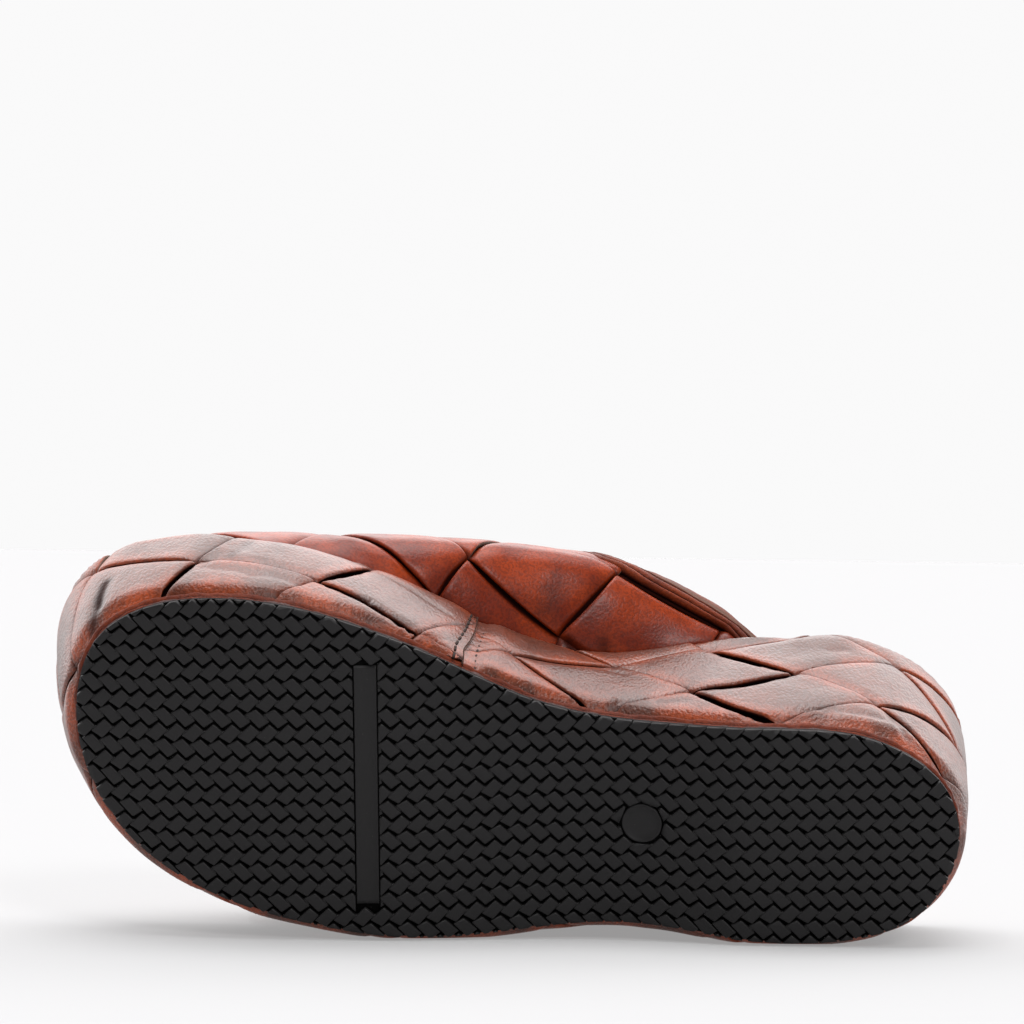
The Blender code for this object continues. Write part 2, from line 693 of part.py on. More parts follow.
def make_vamp(surface):
    front, rear = vamp_edges()
    trim = BINDING_WIDTH + 1.5 * GAP
    sheet = weave(lattice(range(-6, 8), range(-10, 4)), vamp_weave_place, 0)

    def part(along, girth):
        return girth / float(surface.length(along))

    def from_inner(along, girth):
        return girth - float(surface.neck(along))

    def from_outer(along, girth):
        return float(surface.length(along) - surface.neck(along)) - girth

    sheet.cut(from_inner, "inner")
    sheet.cut(from_outer, "outer")
    sheet.cut(lambda along, girth: float(front(part(along, girth))[0]) - trim - along, "front")
    sheet.cut(lambda along, girth: along - float(rear(part(along, girth))[0]) - trim, "rear")
    sheet.tidy()
    for side, at_foot in (("inner", np.zeros_like), ("outer", surface.length)):
        sheet.refine(side, FOOT_STEP)
        chain = sheet.along_cut(side, 0)
        along = np.array([sheet.corners[k][0] for k in chain])
        foot = [sheet.add((x, y, 0.0)) for x, y in zip(along, at_foot(along))]
        for k in range(len(chain) - 1):
            face = (chain[k], chain[k + 1], foot[k + 1], foot[k])
            sheet.faces.append(face if side == "inner" else face[::-1])
    along, girth, rises = np.array(sheet.corners).T
    lift = VAMP_RELIEF * rises * strip_fade(surface, along, girth)
    solid = Solid()
    outside = solid.add(surface.point(along, girth, lift))
    inside = solid.add(surface.point(along, girth, np.full(len(along), -VAMP_WALL)))
    for face in sheet.faces:
        solid.faces.append(tuple(outside[k] for k in face))
        solid.faces.append(tuple(inside[k] for k in reversed(face)))
    for one, two in sheet.border():
        solid.faces.append((outside[two], outside[one], inside[one], inside[two]))
    return solid


def make_binding(surface, edge, inwards):
    """Folded strip along an edge of the vamp; inwards is the direction from the edge into the vamp."""
    middle = float(edge(0.5)[0])
    foot = float(surface.neck(middle) / surface.length(middle))
    parts = np.concatenate([[0.0], np.linspace(foot, 1.0 - foot, BINDING_STATIONS), [1.0]])
    solid = Solid()
    rings = []
    for number, part in enumerate(parts):
        start = float(edge(np.clip(part, foot, 1.0 - foot))[0])
        along = np.array([start + inwards * distance for distance, _ in BINDING_SECTION])
        length, neck = surface.length(along), surface.neck(along)
        if number == 0 or number == len(parts) - 1:
            girth = part * length
        else:
            girth = neck + (part - foot) / (1.0 - 2.0 * foot) * (length - 2.0 * neck)
        height = np.array([rise for _, rise in BINDING_SECTION])
        height = np.where(height > 0.0, height * strip_fade(surface, along, girth), height)
        rings.append(solid.add(surface.point(along, girth, height)))
    for one, two in zip(rings, rings[1:]):
        solid.band(one, two)
    solid.faces.append(tuple(rings[0]))
    solid.faces.append(tuple(rings[-1]))
    return solid


def make_insole():
    """Footbed pad inside the rim, drawn in beside the vamp."""
    places = rung_places()
    front, rear = vamp_edges()
    line = rim_point(places, np.full(RUNGS, RIM_WIDTH), 0.0)
    middle = np.interp(line[:, 0], MIDLINE["along"], MIDLINE["across"])
    part = np.where(line[:, 1] > middle, 0.0, 1.0)
    behind = rear(part) - INSOLE_EASE / 2.0 - line[:, 0]
    before = line[:, 0] - front(part) - INSOLE_EASE / 2.0
    beside = ease(1.0 - behind / INSOLE_EASE) * ease(1.0 - before / INSOLE_EASE)
    inset = RIM_WIDTH + GAP + beside * (2.0 * VAMP_STAND - GAP + VAMP_WALL)
    solid = Solid()
    ring = None
    rings = ((0.0, 0.0), (0.0, INSOLE_THICK - INSOLE_ROUND), (INSOLE_ROUND, INSOLE_THICK))
    for inward, rise in rings:
        edge = rim_point(places, inset + inward, 0.0)
        edge = np.column_stack([edge[:, :2], seat(edge[:, 0]) + GAP + rise])
        above = solid.add(edge)
        if ring:
            solid.band(ring, above)
        else:
            solid.cap(above)
        ring = above
    solid.cap(ring)
    return solid


# ---------------------------------------------------------------- resting pose
def mass_centre(bodies):
    """Centre of mass of all pieces, in shoe millimetres."""
    total, moment = 0.0, Vector()
    for body in bodies:
        density = FINISHES[body.name][2]
        points = [vertex.co for vertex in body.data.vertices]
        for face in body.data.polygons:
            a, b, c = (points[corner] for corner in face.vertices)
            part = a.dot(b.cross(c)) / 6.0 * density
            total += part
            moment += part * (a + b + c) / 4.0
    return moment / total


def resting_side(bodies):
    """Outward direction of the facet on the outer side of the hull that carries the centre of mass."""
    centre = mass_centre(bodies)
    hull = bmesh.new()
    for body in bodies:
        hull.from_mesh(body.data)
    shell = bmesh.ops.convex_hull(hull, input=hull.verts[:])["geom"]
    facets = [face for face in shell if isinstance(face, bmesh.types.BMFace)]
    best, found = math.inf, None
    for facet in facets:
        facet.normal_update()
        if facet.normal.y > -OUTER_SIDE:
            continue
        corners = [loop.vert.co for loop in facet.loops]
        reach = max((centre - a).dot((b - a).cross(facet.normal).normalized())
                    for a, b in zip(corners, corners[1:] + corners[:1]))
        if reach < best:
            best, found = reach, facet.normal.copy()
    hull.free()
    return found


def lay_down(shoe, bodies):
    """Lay the shoe on its outer side, toe to -X, with the origin at the bottom centre of its box."""
    up = -resting_side(bodies)
    back = -(Vector((1.0, 0.0, 0.0)) - up.x * up).normalized()
    turn = Matrix((back, up.cross(back), up))
    points = np.array([turn @ vertex.co for body in bodies for vertex in body.data.vertices])
    low, high = points.min(axis=0), points.max(axis=0)
    shift = Vector((-(low[0] + high[0]) / 2.0, -(low[1] + high[1]) / 2.0, -low[2]))
    shoe.matrix_world = Matrix.Scale(MM, 4) @ Matrix.Translation(shift) @ turn.to_4x4()


def main():
    for body in list(bpy.data.objects):
        bpy.data.objects.remove(body, do_unlink=True)
    collection = bpy.data.collections.new("woven_wedge_sandal")
    bpy.context.scene.collection.children.link(collection)
    shoe = bpy.data.objects.new("shoe", None)
    collection.objects.link(shoe)
    surface = VampSurface()
    front, rear = vamp_edges()
    solids = {
        "outsole": make_outsole(),
        "wedge": make_wedge(),
        "insole": make_insole(),
        "vamp": make_vamp(surface),
        "topline_binding": make_binding(surface, rear, 1.0),
        "toe_binding": make_binding(surface, front, -1.0),
    }
    bodies = [solid.build(name, shoe, collection) for name, solid in solids.items()]
    lay_down(shoe, bodies)


main()
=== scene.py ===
"""Looks of the woven wedge sandal: leather strips, folded bindings, stitching, insole and tread.

Every shape is worked out in the shoe's own frame in millimetres (x forward to the toe, y to the inner
side, z up from the sole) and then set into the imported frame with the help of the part's two mounts.
"""
import functools
import itertools
import json
import math

import bmesh
import bpy
import numpy as np
from mathutils import Matrix, Vector


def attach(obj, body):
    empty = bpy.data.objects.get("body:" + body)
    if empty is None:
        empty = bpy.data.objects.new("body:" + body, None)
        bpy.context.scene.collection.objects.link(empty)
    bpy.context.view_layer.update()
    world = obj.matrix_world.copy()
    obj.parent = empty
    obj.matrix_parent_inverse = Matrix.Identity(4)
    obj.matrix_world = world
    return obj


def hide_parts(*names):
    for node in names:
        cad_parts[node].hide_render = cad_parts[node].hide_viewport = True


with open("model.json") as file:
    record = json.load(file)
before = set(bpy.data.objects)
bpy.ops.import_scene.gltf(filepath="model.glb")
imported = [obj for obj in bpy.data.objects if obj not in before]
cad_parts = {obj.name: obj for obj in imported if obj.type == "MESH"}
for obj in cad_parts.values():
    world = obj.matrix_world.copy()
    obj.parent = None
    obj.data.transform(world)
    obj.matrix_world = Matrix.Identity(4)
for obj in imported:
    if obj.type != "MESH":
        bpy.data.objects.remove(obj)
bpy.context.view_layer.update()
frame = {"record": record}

MM = 0.001
GAP = 0.3                     # air between solids that meet

# ---- the shoe's own sizes ----
SOLE_THICK = 2.7              # rubber outsole with its tread
SEAT_DROP = 3.6               # the seat lies this far below the rim
RIM_CREST = 1.5               # the folded rim rises this far above the wall
RIM_WIDTH = 4.6
WALL_LIP = 0.9                # the wall steps out this far just above the outsole
LIP_HEIGHT = 0.09             # part of the wall's height that the step takes
INSOLE_EASE = 6.0             # length in which the insole draws in beside the vamp
MIDLINE = {"along": (-124.0, 124.0), "across": (-22.0, 12.0)}
TOE_SPRING = {"start": 68.0, "length": 57.0, "rise": 11.5, "power": 1.9}
HEEL_SPRING = {"start": -98.0, "length": 27.0, "rise": 2.8}
ARCH = {"back": -62.0, "front": 40.0, "rise": 10.3, "peak": 0.42, "power": 1.5}
RIM_HEIGHTS = {
    "along": (-140.0, -100.0, -60.0, -20.0, 20.0, 55.0, 90.0, 125.0, 140.0),
    "height": (62.0, 61.0, 59.0, 52.0, 44.0, 39.0, 40.5, 46.0, 48.0),
}
# Columns: along, across, flare (how far the rim stands out there), belly (swelling between the two).
OUTLINE = (
    (-123.3, -22.0, 5.0, 0.8),
    (-120.3, -10.0, 9.5, 0.8),
    (-113.0, -1.5, 12.5, 0.8),
    (-95.0, 7.2, 13.0, 0.8),
    (-78.0, 9.2, 12.5, 0.8),
    (-60.0, 9.6, 11.0, 0.8),
    (-28.0, 10.5, 7.2, 0.8),
    (-5.0, 16.0, 6.4, 0.8),
    (20.0, 28.6, 6.0, 0.8),
    (50.0, 41.5, 7.5, 0.8),
    (83.0, 47.2, 8.5, 0.8),
    (107.0, 42.5, 10.5, 0.8),
    (116.5, 35.5, 11.3, 0.8),
    (122.0, 25.0, 9.0, 0.8),
    (122.8, 4.0, 6.5, 0.8),
    (112.0, -18.0, 6.0, 0.6),
    (92.0, -33.5, 6.0, 0.4),
    (60.0, -45.0, 6.0, 0.2),
    (15.0, -50.5, 5.8, 0.2),
    (-30.0, -48.3, 9.0, 0.2),
    (-90.0, -51.5, 8.5, 0.2),
    (-114.0, -42.5, 7.0, 0.5),
)
# Columns: column of corners, then, at level 0, place round the outline and height above the outsole,
# and what one level adds to both.
WALL_WEAVE = (
    (-2, 100.0, 36.0, 4.0, 20.0),
    (0, 152.0, 38.0, 6.0, 21.0),
    (1, 180.8, 21.2, 8.7, 15.8),
    (2, 202.6, 14.8, 11.4, 10.9),
    (3, 225.0, 8.5, 10.0, 9.8),
    (4, 247.0, -3.0, 6.7, 16.5),
    (5, 277.0, -13.5, 1.0, 16.5),
    (6, 298.0, -14.0, -3.0, 16.0),
    (7, 310.0, -14.0, -3.0, 16.0),
    (19, 596.9, -9.7, -1.0, 12.7),
    (20, 625.1, -14.5, -3.0, 15.7),
    (21, 649.1, -12.2, -3.3, 13.9),
    (22, 676.1, -14.5, -3.2, 15.8),
    (23, 697.0, -16.6, -2.0, 15.6),
    (24, 728.7, -12.0, -2.0, 15.5),
    (26, 776.0, -14.0, -2.0, 15.5),
)
WALL_JOIN = 157.0             # place where the two ends of the woven band lap
# Columns: along, inner side (across, height), top (across, height), outer side (across, height).
VAMP_SECTIONS = (
    (125.0, 47.0, 60.0, 10.0, 72.0, -33.0, 60.0),
    (100.0, 52.0, 60.0, 8.0, 79.0, -40.0, 60.0),
    (75.0, 53.8, 58.0, 5.0, 86.0, -49.0, 58.0),
    (50.0, 52.8, 58.0, 3.0, 92.0, -57.5, 60.0),
    (25.0, 51.3, 61.0, 1.0, 99.0, -61.0, 64.0),
    (0.0, 47.8, 66.0, -2.0, 107.0, -62.0, 68.0),
    (-20.0, 44.2, 70.0, -5.0, 113.0, -62.0, 71.0),
    (-45.0, 35.5, 76.0, -8.0, 120.0, -62.0, 75.0),
    (-70.0, 22.5, 80.0, -12.0, 127.0, -62.0, 79.0),
    (-95.0, 13.0, 84.0, -15.0, 134.0, -62.0, 83.0),
)
# Columns: part of the way over the foot from the inner side, then the front and the rear edge, along.
VAMP_EDGES = (
    (0.0, 101.0, -78.0),
    (0.12, 100.0, -63.0),
    (0.26, 98.5, -35.0),
    (0.40, 96.0, -16.0),
    (0.55, 92.5, -9.0),
    (0.70, 88.5, -17.0),
    (0.85, 84.0, -40.0),
    (1.0, 80.0, -60.0),
)
VAMP_WALL = 1.4               # leather and lining below the strips
VAMP_NECK = 3.6               # the vamp leaves the rim this far above its widest line
VAMP_STAND = 0.7              # clearance of the vamp's upright foot from the rim
FLANK_PULL = 0.35             # how soon the flank turns upwards
SHOULDER_PULL = 0.62          # how square the arch is between side and top
SECTION_STEPS = {"foot": 3, "flank": 10, "arch": 14}
# Columns: column of corners, then, at level 0, along and girth, and what one level adds to both.
VAMP_WEAVE = (
    (-5, 135.0, 10.0, 9.0, 21.0),
    (-2, 67.0, 10.0, 9.0, 21.0),
    (-1, 45.0, 11.0, 9.0, 21.0),
    (0, 23.0, 12.0, 9.5, 20.5),
    (1, 6.0, 8.0, 8.0, 21.0),
    (2, -12.0, 16.0, 6.5, 20.5),
    (3, -38.0, 16.0, 8.0, 21.0),
    (4, -60.0, 16.0, 8.0, 21.0),
    (5, -84.0, 16.0, 8.0, 21.0),
    (12, -238.0, 16.0, 8.0, 21.0),
)
BINDING_WIDTH = 7.0
STRIP_EASE = 6.0              # girth in which the strips rise from the vamp's upright feet

# ---- woven strips ----
# Levels of a strip's face, in mm above the plain surface, over the distance from its end (mm).
DIVE = {
    "wall": ((-4.5, -1.9), (-2.2, -1.7), (-0.8, -1.1), (0.2, 0.1), (0.9, 0.8), (2.0, 1.2),
             (4.5, 1.5), (8.0, 1.6)),
    "vamp": ((-4.5, -1.0), (-2.2, -1.0), (-0.6, -0.7), (0.5, 0.2), (1.4, 0.85), (3.0, 1.35),
             (8.0, 1.7)),
}
# Folded side edge of a strip: distance in from the edge, and drop below the strip's face.
FOLD = ((1.5, -1.75), (0.5, -1.7), (0.02, -1.4), (-0.12, -0.95), (-0.08, -0.5), (0.12, -0.18),
        (0.5, -0.04), (1.3, 0.0))
PUFF = 0.1                    # crown of a strip across its width
CROWN_EASE = 5.0              # length in which the crown rises from a strip's end
SPACING = 0.95                # grid of a strip's face
STRIP_ENDS = (-4.2, -2.4, -1.3, -0.6, -0.1, 0.4, 0.9, 1.5, 2.1, 2.8, 3.6, 4.6)   # grid near its ends
FOLDED = -0.3                 # what drops further than this belongs to a strip's folded edge
# A crevice: its width at the tips and what it gains to the middle, the run of its side and its floor.
CREVICE = {"tip": 0.35, "swell": 2.6, "side": 1.1, "floor": -1.9}
# Painted shade on a strip: in the dive at its ends, fading over a length; and within a width of its sides,
# on the fold's upper part and what it gains from one drop on over the next stretch.
DIVE_SHADE = {"most": 0.75, "length": 1.6}
FOLD_SHADE = {"least": 0.12, "gain": 0.78, "from": 0.45, "over": 0.7, "width": 0.6}
DEEP_EASE = {"side": 5.0, "end": 6.0}       # a strip's colour deepens this far in from its borders: painted shade on its middle


# ---------------- curves
def spline(knots, values, period=None):
    """Cubic spline through rows of values: closed when a period is given, else with free ends."""
    knots = np.asarray(knots, float)
    values = np.asarray(values, float)
    count = len(knots)
    if period:
        knots = np.append(knots, knots[0] + period)
        values = np.append(values, values[:1], axis=0)
    steps = np.diff(knots)
    slopes = (np.diff(values, axis=0).T / steps).T
    size = count if period else count - 2
    matrix = np.zeros((size, size))
    right = np.zeros((size,) + values.shape[1:])
    for row in range(size):
        here = row if period else row + 1
        before = steps[here - 1]
        after = steps[here] if period or here < len(steps) else 0.0
        matrix[row, row] = 2.0 * (before + after)
        if period or row > 0:
            matrix[row, row - 1] += before
        if period or row < size - 1:
            matrix[row, (row + 1) % size] += after
        right[row] = 6.0 * (slopes[here] - slopes[here - 1])
    bends = np.linalg.solve(matrix, right)
    edge = np.zeros((1,) + values.shape[1:])
    bends = np.concatenate([bends, bends[:1]]) if period else np.concatenate([edge, bends, edge])

    def curve(at):
        at = np.atleast_1d(np.asarray(at, float))
        if period:
            at = (at - knots[0]) % period + knots[0]
        part = np.clip(np.searchsorted(knots, at, side="right") - 1, 0, len(steps) - 1)
        shape = (-1,) + (1,) * (values.ndim - 1)
        step = steps[part].reshape(shape)
        into = (at - knots[part]).reshape(shape)
        left = step - into
        low, high = bends[part], bends[part + 1]
        return ((low * left ** 3 + high * into ** 3) / (6.0 * step)
                + (values[part] / step - low * step / 6.0) * left
                + (values[part + 1] / step - high * step / 6.0) * into)

    return curve


def ease(at):
    """0 to 1 with soft ends."""
    at = np.clip(at, 0.0, 1.0)
    return at * at * (3.0 - 2.0 * at)


def circle(count):
    """Cosines and sines of angles evenly spaced round a circle."""
    turn = np.arange(count) * 2.0 * math.pi / count
    return np.cos(turn), np.sin(turn)


OUTLINE_XY = np.array([row[:2] for row in OUTLINE])
CHORDS = np.linalg.norm(np.roll(OUTLINE_XY, -1, axis=0) - OUTLINE_XY, axis=1)
OUTLINE_KNOTS = np.concatenate([[0.0], np.cumsum(CHORDS)[:-1]])
PERIMETER = float(CHORDS.sum())
outline_point = spline(OUTLINE_KNOTS, OUTLINE_XY, PERIMETER)
outline_flare = spline(OUTLINE_KNOTS, [row[2] for row in OUTLINE], PERIMETER)
outline_belly = spline(OUTLINE_KNOTS, [row[3] for row in OUTLINE], PERIMETER)
rim_height = spline(RIM_HEIGHTS["along"], RIM_HEIGHTS["height"])


def places_round(count):
    """Places evenly spaced round the outline."""
    return np.arange(count) * PERIMETER / count


def outward(place):
    """Unit direction away from the shoe at a place round the outline."""
    step = 0.05
    ahead = outline_point(np.add(place, step)) - outline_point(np.subtract(place, step))
    ahead /= np.linalg.norm(ahead, axis=1)[:, None]
    return np.column_stack([-ahead[:, 1], ahead[:, 0]])


def ground(along):
    """Height of the outsole's underside: toe spring, arch and heel spring above the two flats."""
    along = np.asarray(along, float)
    toe = np.clip((along - TOE_SPRING["start"]) / TOE_SPRING["length"], 0.0, None)
    heel = np.clip((HEEL_SPRING["start"] - along) / HEEL_SPRING["length"], 0.0, None)
    arch = np.clip((along - ARCH["back"]) / (ARCH["front"] - ARCH["back"]), 0.0, 1.0)
    skew = math.log(0.5) / math.log(ARCH["peak"])
    return (TOE_SPRING["rise"] * toe ** TOE_SPRING["power"]
            + HEEL_SPRING["rise"] * heel ** 2
            + ARCH["rise"] * np.sin(np.pi * arch ** skew) ** ARCH["power"])


def seat(along):
    """Height of the wedge's seat, on which the insole and the vamp stand."""
    return rim_height(along) - SEAT_DROP


def noise(points, size, seed):
    """Smooth random field of about -1 to 1 whose features have this size in mm."""
    draw = np.random.default_rng(seed)
    total = np.zeros(len(points))
    waves = 12
    for _ in range(waves):
        way = draw.normal(size=3)
        way *= 2.0 * math.pi / (size * draw.uniform(1.2, 2.6) * np.linalg.norm(way))
        total += np.sin(points @ way + draw.uniform(0.0, 2.0 * math.pi))
    return total / math.sqrt(waves / 2.0) / 1.6


# Unevenness of the leather. Columns: depth, size of its features, seed.
WAVES = {
    "wall": ((0.16, 14.0, 11), (0.025, 4.5, 12)),
    "band": ((0.20, 2.4, 21), (0.12, 7.0, 22)),
    "vamp": ((0.14, 14.0, 31), (0.02, 4.5, 32)),
    "binding": ((0.10, 6.0, 41), (0.05, 2.5, 42)),
}


def uneven(kind, points):
    """Rise and fall of the leather at these points."""
    return sum(depth * noise(points, size, seed) for depth, size, seed in WAVES[kind])


def scatter(number, turn, reach):
    """A number from 0 to 1 that jumps about from strip to strip."""
    return (np.sin(number * turn) * reach) % 1.0


# ---------------- the wedge's surface
def wall_height(place):
    """Height of the wall from the outsole to the foot of the rim."""
    edge = outline_point(place)
    top = edge + outward(place) * outline_flare(place)[:, None]
    return rim_height(top[:, 0]) - ground(edge[:, 0]) - SOLE_THICK - GAP


def wall_point(place, part, relief=0.0):
    """Point of the wall: place round the outline, part of the way up (0 to 1), relief outwards."""
    place = np.atleast_1d(place)
    part = np.atleast_1d(part)
    edge = outline_point(place)
    out = outward(place)
    stand = (outline_flare(place) * part + outline_belly(place) * 4.0 * part * (1.0 - part)
             + WALL_LIP * (1.0 - np.exp(-part / LIP_HEIGHT)) + relief)
    low = ground(edge[:, 0]) + SOLE_THICK + GAP
    return np.column_stack([edge + out * stand[:, None], low + wall_height(place) * part])


def rim_point(place, inward):
    """Point at the height of the wall's top, further in over the rim."""
    base = wall_point(place, 1.0)
    return np.column_stack([base[:, :2] - outward(place) * np.reshape(inward, (-1, 1)), base[:, 2]])


RIM_ARC = np.linspace(0.0, math.pi, 33)
RIM_PROFILE = np.column_stack([RIM_WIDTH / 2.0 * (1.0 - np.cos(RIM_ARC)), RIM_CREST * np.sin(RIM_ARC)])
RIM_RUN = np.append(0.0, np.cumsum(np.linalg.norm(np.diff(RIM_PROFILE, axis=0), axis=1)))
RIM_FADE = {"over": (0.0, 3.0, 6.0), "part": (1.0, 0.7, 0.12)}


def wall_skin(place, height, lift):
    """Point of the wall's skin: height above the outsole, going on over the rim, and lift off the skin."""
    full = wall_height(place)
    over = np.maximum(height - full, 0.0)
    base = wall_point(place, np.clip(height, 0.0, full) / full)
    out = outward(place)
    inward = np.interp(over, RIM_RUN, RIM_PROFILE[:, 0])
    rise = np.interp(over, RIM_RUN, RIM_PROFILE[:, 1]) - np.maximum(over - RIM_RUN[-1], 0.0)
    angle = np.interp(over, RIM_RUN, RIM_ARC)
    lift = lift * np.interp(over, RIM_FADE["over"], RIM_FADE["part"])
    inward = inward - np.cos(angle) * lift
    rise = rise + np.sin(angle) * lift
    return np.column_stack([base[:, :2] - out * inward[:, None], base[:, 2] + rise])


# ---------------- the vamp's surface
def inner_line(inward):
    """The line inside the rim on each side of the shoe, as across over along."""
    line = rim_point(np.linspace(0.0, PERIMETER, 721), inward)[:-1, :2]
    line = np.roll(line, -int(np.argmin(line[:, 0])), axis=0)
    tip = int(np.argmax(line[:, 0]))
    inner, outer = line[:tip + 1], line[tip:][::-1]
    return (lambda along: np.interp(along, inner[:, 0], inner[:, 1]),
            lambda along: np.interp(along, outer[:, 0], outer[:, 1]))


def bezier(points, steps):
    """Points on a Bezier curve, without its first one."""
    points = np.array(points, float)
    at = np.linspace(0.0, 1.0, steps + 1)[1:, None]
    degree = len(points) - 1
    return sum(math.comb(degree, k) * at ** k * (1.0 - at) ** (degree - k) * points[k]
               for k in range(degree + 1))


def half_section(base, neck, side, top):
    """Half of a vamp section from the seat to the top, as (across, height)."""
    turn = (side[0], neck[1] + FLANK_PULL * (side[1] - neck[1]))
    steep = (side[0], side[1] + SHOULDER_PULL * (top[1] - side[1]))
    flat = (top[0] + SHOULDER_PULL * (side[0] - top[0]), top[1])
    return np.vstack([[base], bezier([base, neck], SECTION_STEPS["foot"]),
                      bezier([neck, turn, side], SECTION_STEPS["flank"]),
                      bezier([side, steep, flat, top], SECTION_STEPS["arch"])])


class VampSurface:
    """Outer face of the vamp over along and girth (mm over the foot from the inner base)."""

    STEP = 1.5

    def __init__(self):
        sections = spline([row[0] for row in reversed(VAMP_SECTIONS)],
                          [row[1:] for row in reversed(VAMP_SECTIONS)])
        inner, outer = inner_line(RIM_WIDTH + VAMP_STAND)
        self.first = VAMP_SECTIONS[-1][0]
        self.stations = np.arange(self.first, VAMP_SECTIONS[0][0] + 0.1, self.STEP)
        rows, self.lengths, self.necks = [], [], []
        for along in self.stations:
            shape = sections(along)[0]
            floor = float(seat(along)[0]) + GAP
            rise = float(rim_height(along)[0]) + VAMP_NECK
            halves = []
            for line, side in ((inner, shape[0:2]), (outer, shape[4:6])):
                foot = float(line(along))
                halves.append(half_section((foot, floor), (foot, rise), side, shape[2:4]))
            row = np.vstack([halves[0], halves[1][-2::-1]])
            girth = np.append(0.0, np.cumsum(np.linalg.norm(np.diff(row, axis=0), axis=1)))
            rows.append((girth, row))
            self.lengths.append(girth[-1])
            self.necks.append(rise - floor)
        self.count = int(max(self.lengths) / self.STEP) + 2
        girths = np.arange(self.count) * self.STEP
        self.grid = np.array([np.column_stack([np.interp(girths, girth, row[:, k]) for k in (0, 1)])
                              for girth, row in rows])
        self.lengths = np.array(self.lengths)
        self.necks = np.array(self.necks)

    def length(self, along):
        """Girth of the section from base to base."""
        return np.interp(along, self.stations, self.lengths)

    def neck(self, along):
        """Girth of the vamp's upright foot."""
        return np.interp(along, self.stations, self.necks)

    def plain(self, along, girth):
        """Points on the surface itself, between the corners of its grid."""
        i = np.clip((along - self.first) / self.STEP, 0.0, len(self.stations) - 1.001)
        j = np.clip(girth / self.STEP, 0.0, self.count - 1.001)
        low_i, low_j = i.astype(int), j.astype(int)
        u, v = (i - low_i)[:, None], (j - low_j)[:, None]
        grid = self.grid
        flat = ((grid[low_i, low_j] * (1 - u) + grid[low_i + 1, low_j] * u) * (1 - v)
                + (grid[low_i, low_j + 1] * (1 - u) + grid[low_i + 1, low_j + 1] * u) * v)
        return np.column_stack([along, flat])

    def point(self, along, girth, offset):
        """Points at an offset outwards from the surface."""
        along = np.asarray(along, float)
        girth = np.clip(np.asarray(girth, float), 0.0, self.length(along))
        reach = 2.0 * self.STEP
        ahead = self.plain(along + reach, girth) - self.plain(along - reach, girth)
        over = (self.plain(along, np.minimum(girth + reach, self.length(along)))
                - self.plain(along, np.maximum(girth - reach, 0.0)))
        normal = np.cross(over, ahead)
        normal /= np.linalg.norm(normal, axis=1)[:, None]
        level = np.minimum(girth, self.length(along) - girth) < self.neck(along) - reach
        normal[level, 0] = 0.0
        normal[level, 2] = 0.0
        normal /= np.linalg.norm(normal, axis=1)[:, None]
        return self.plain(along, girth) + normal * np.reshape(offset, (-1, 1))


EDGE_PARTS = [row[0] for row in VAMP_EDGES]
vamp_front = spline(EDGE_PARTS, [row[1] for row in VAMP_EDGES])
vamp_rear = spline(EDGE_PARTS, [row[2] for row in VAMP_EDGES])
SURFACE = VampSurface()


def strip_fade(along, girth):
    """0 on the upright feet of the vamp, 1 where its strips stand up in full."""
    low = np.minimum(girth, SURFACE.length(along) - girth)
    return ease((low - SURFACE.neck(along)) / STRIP_EASE)


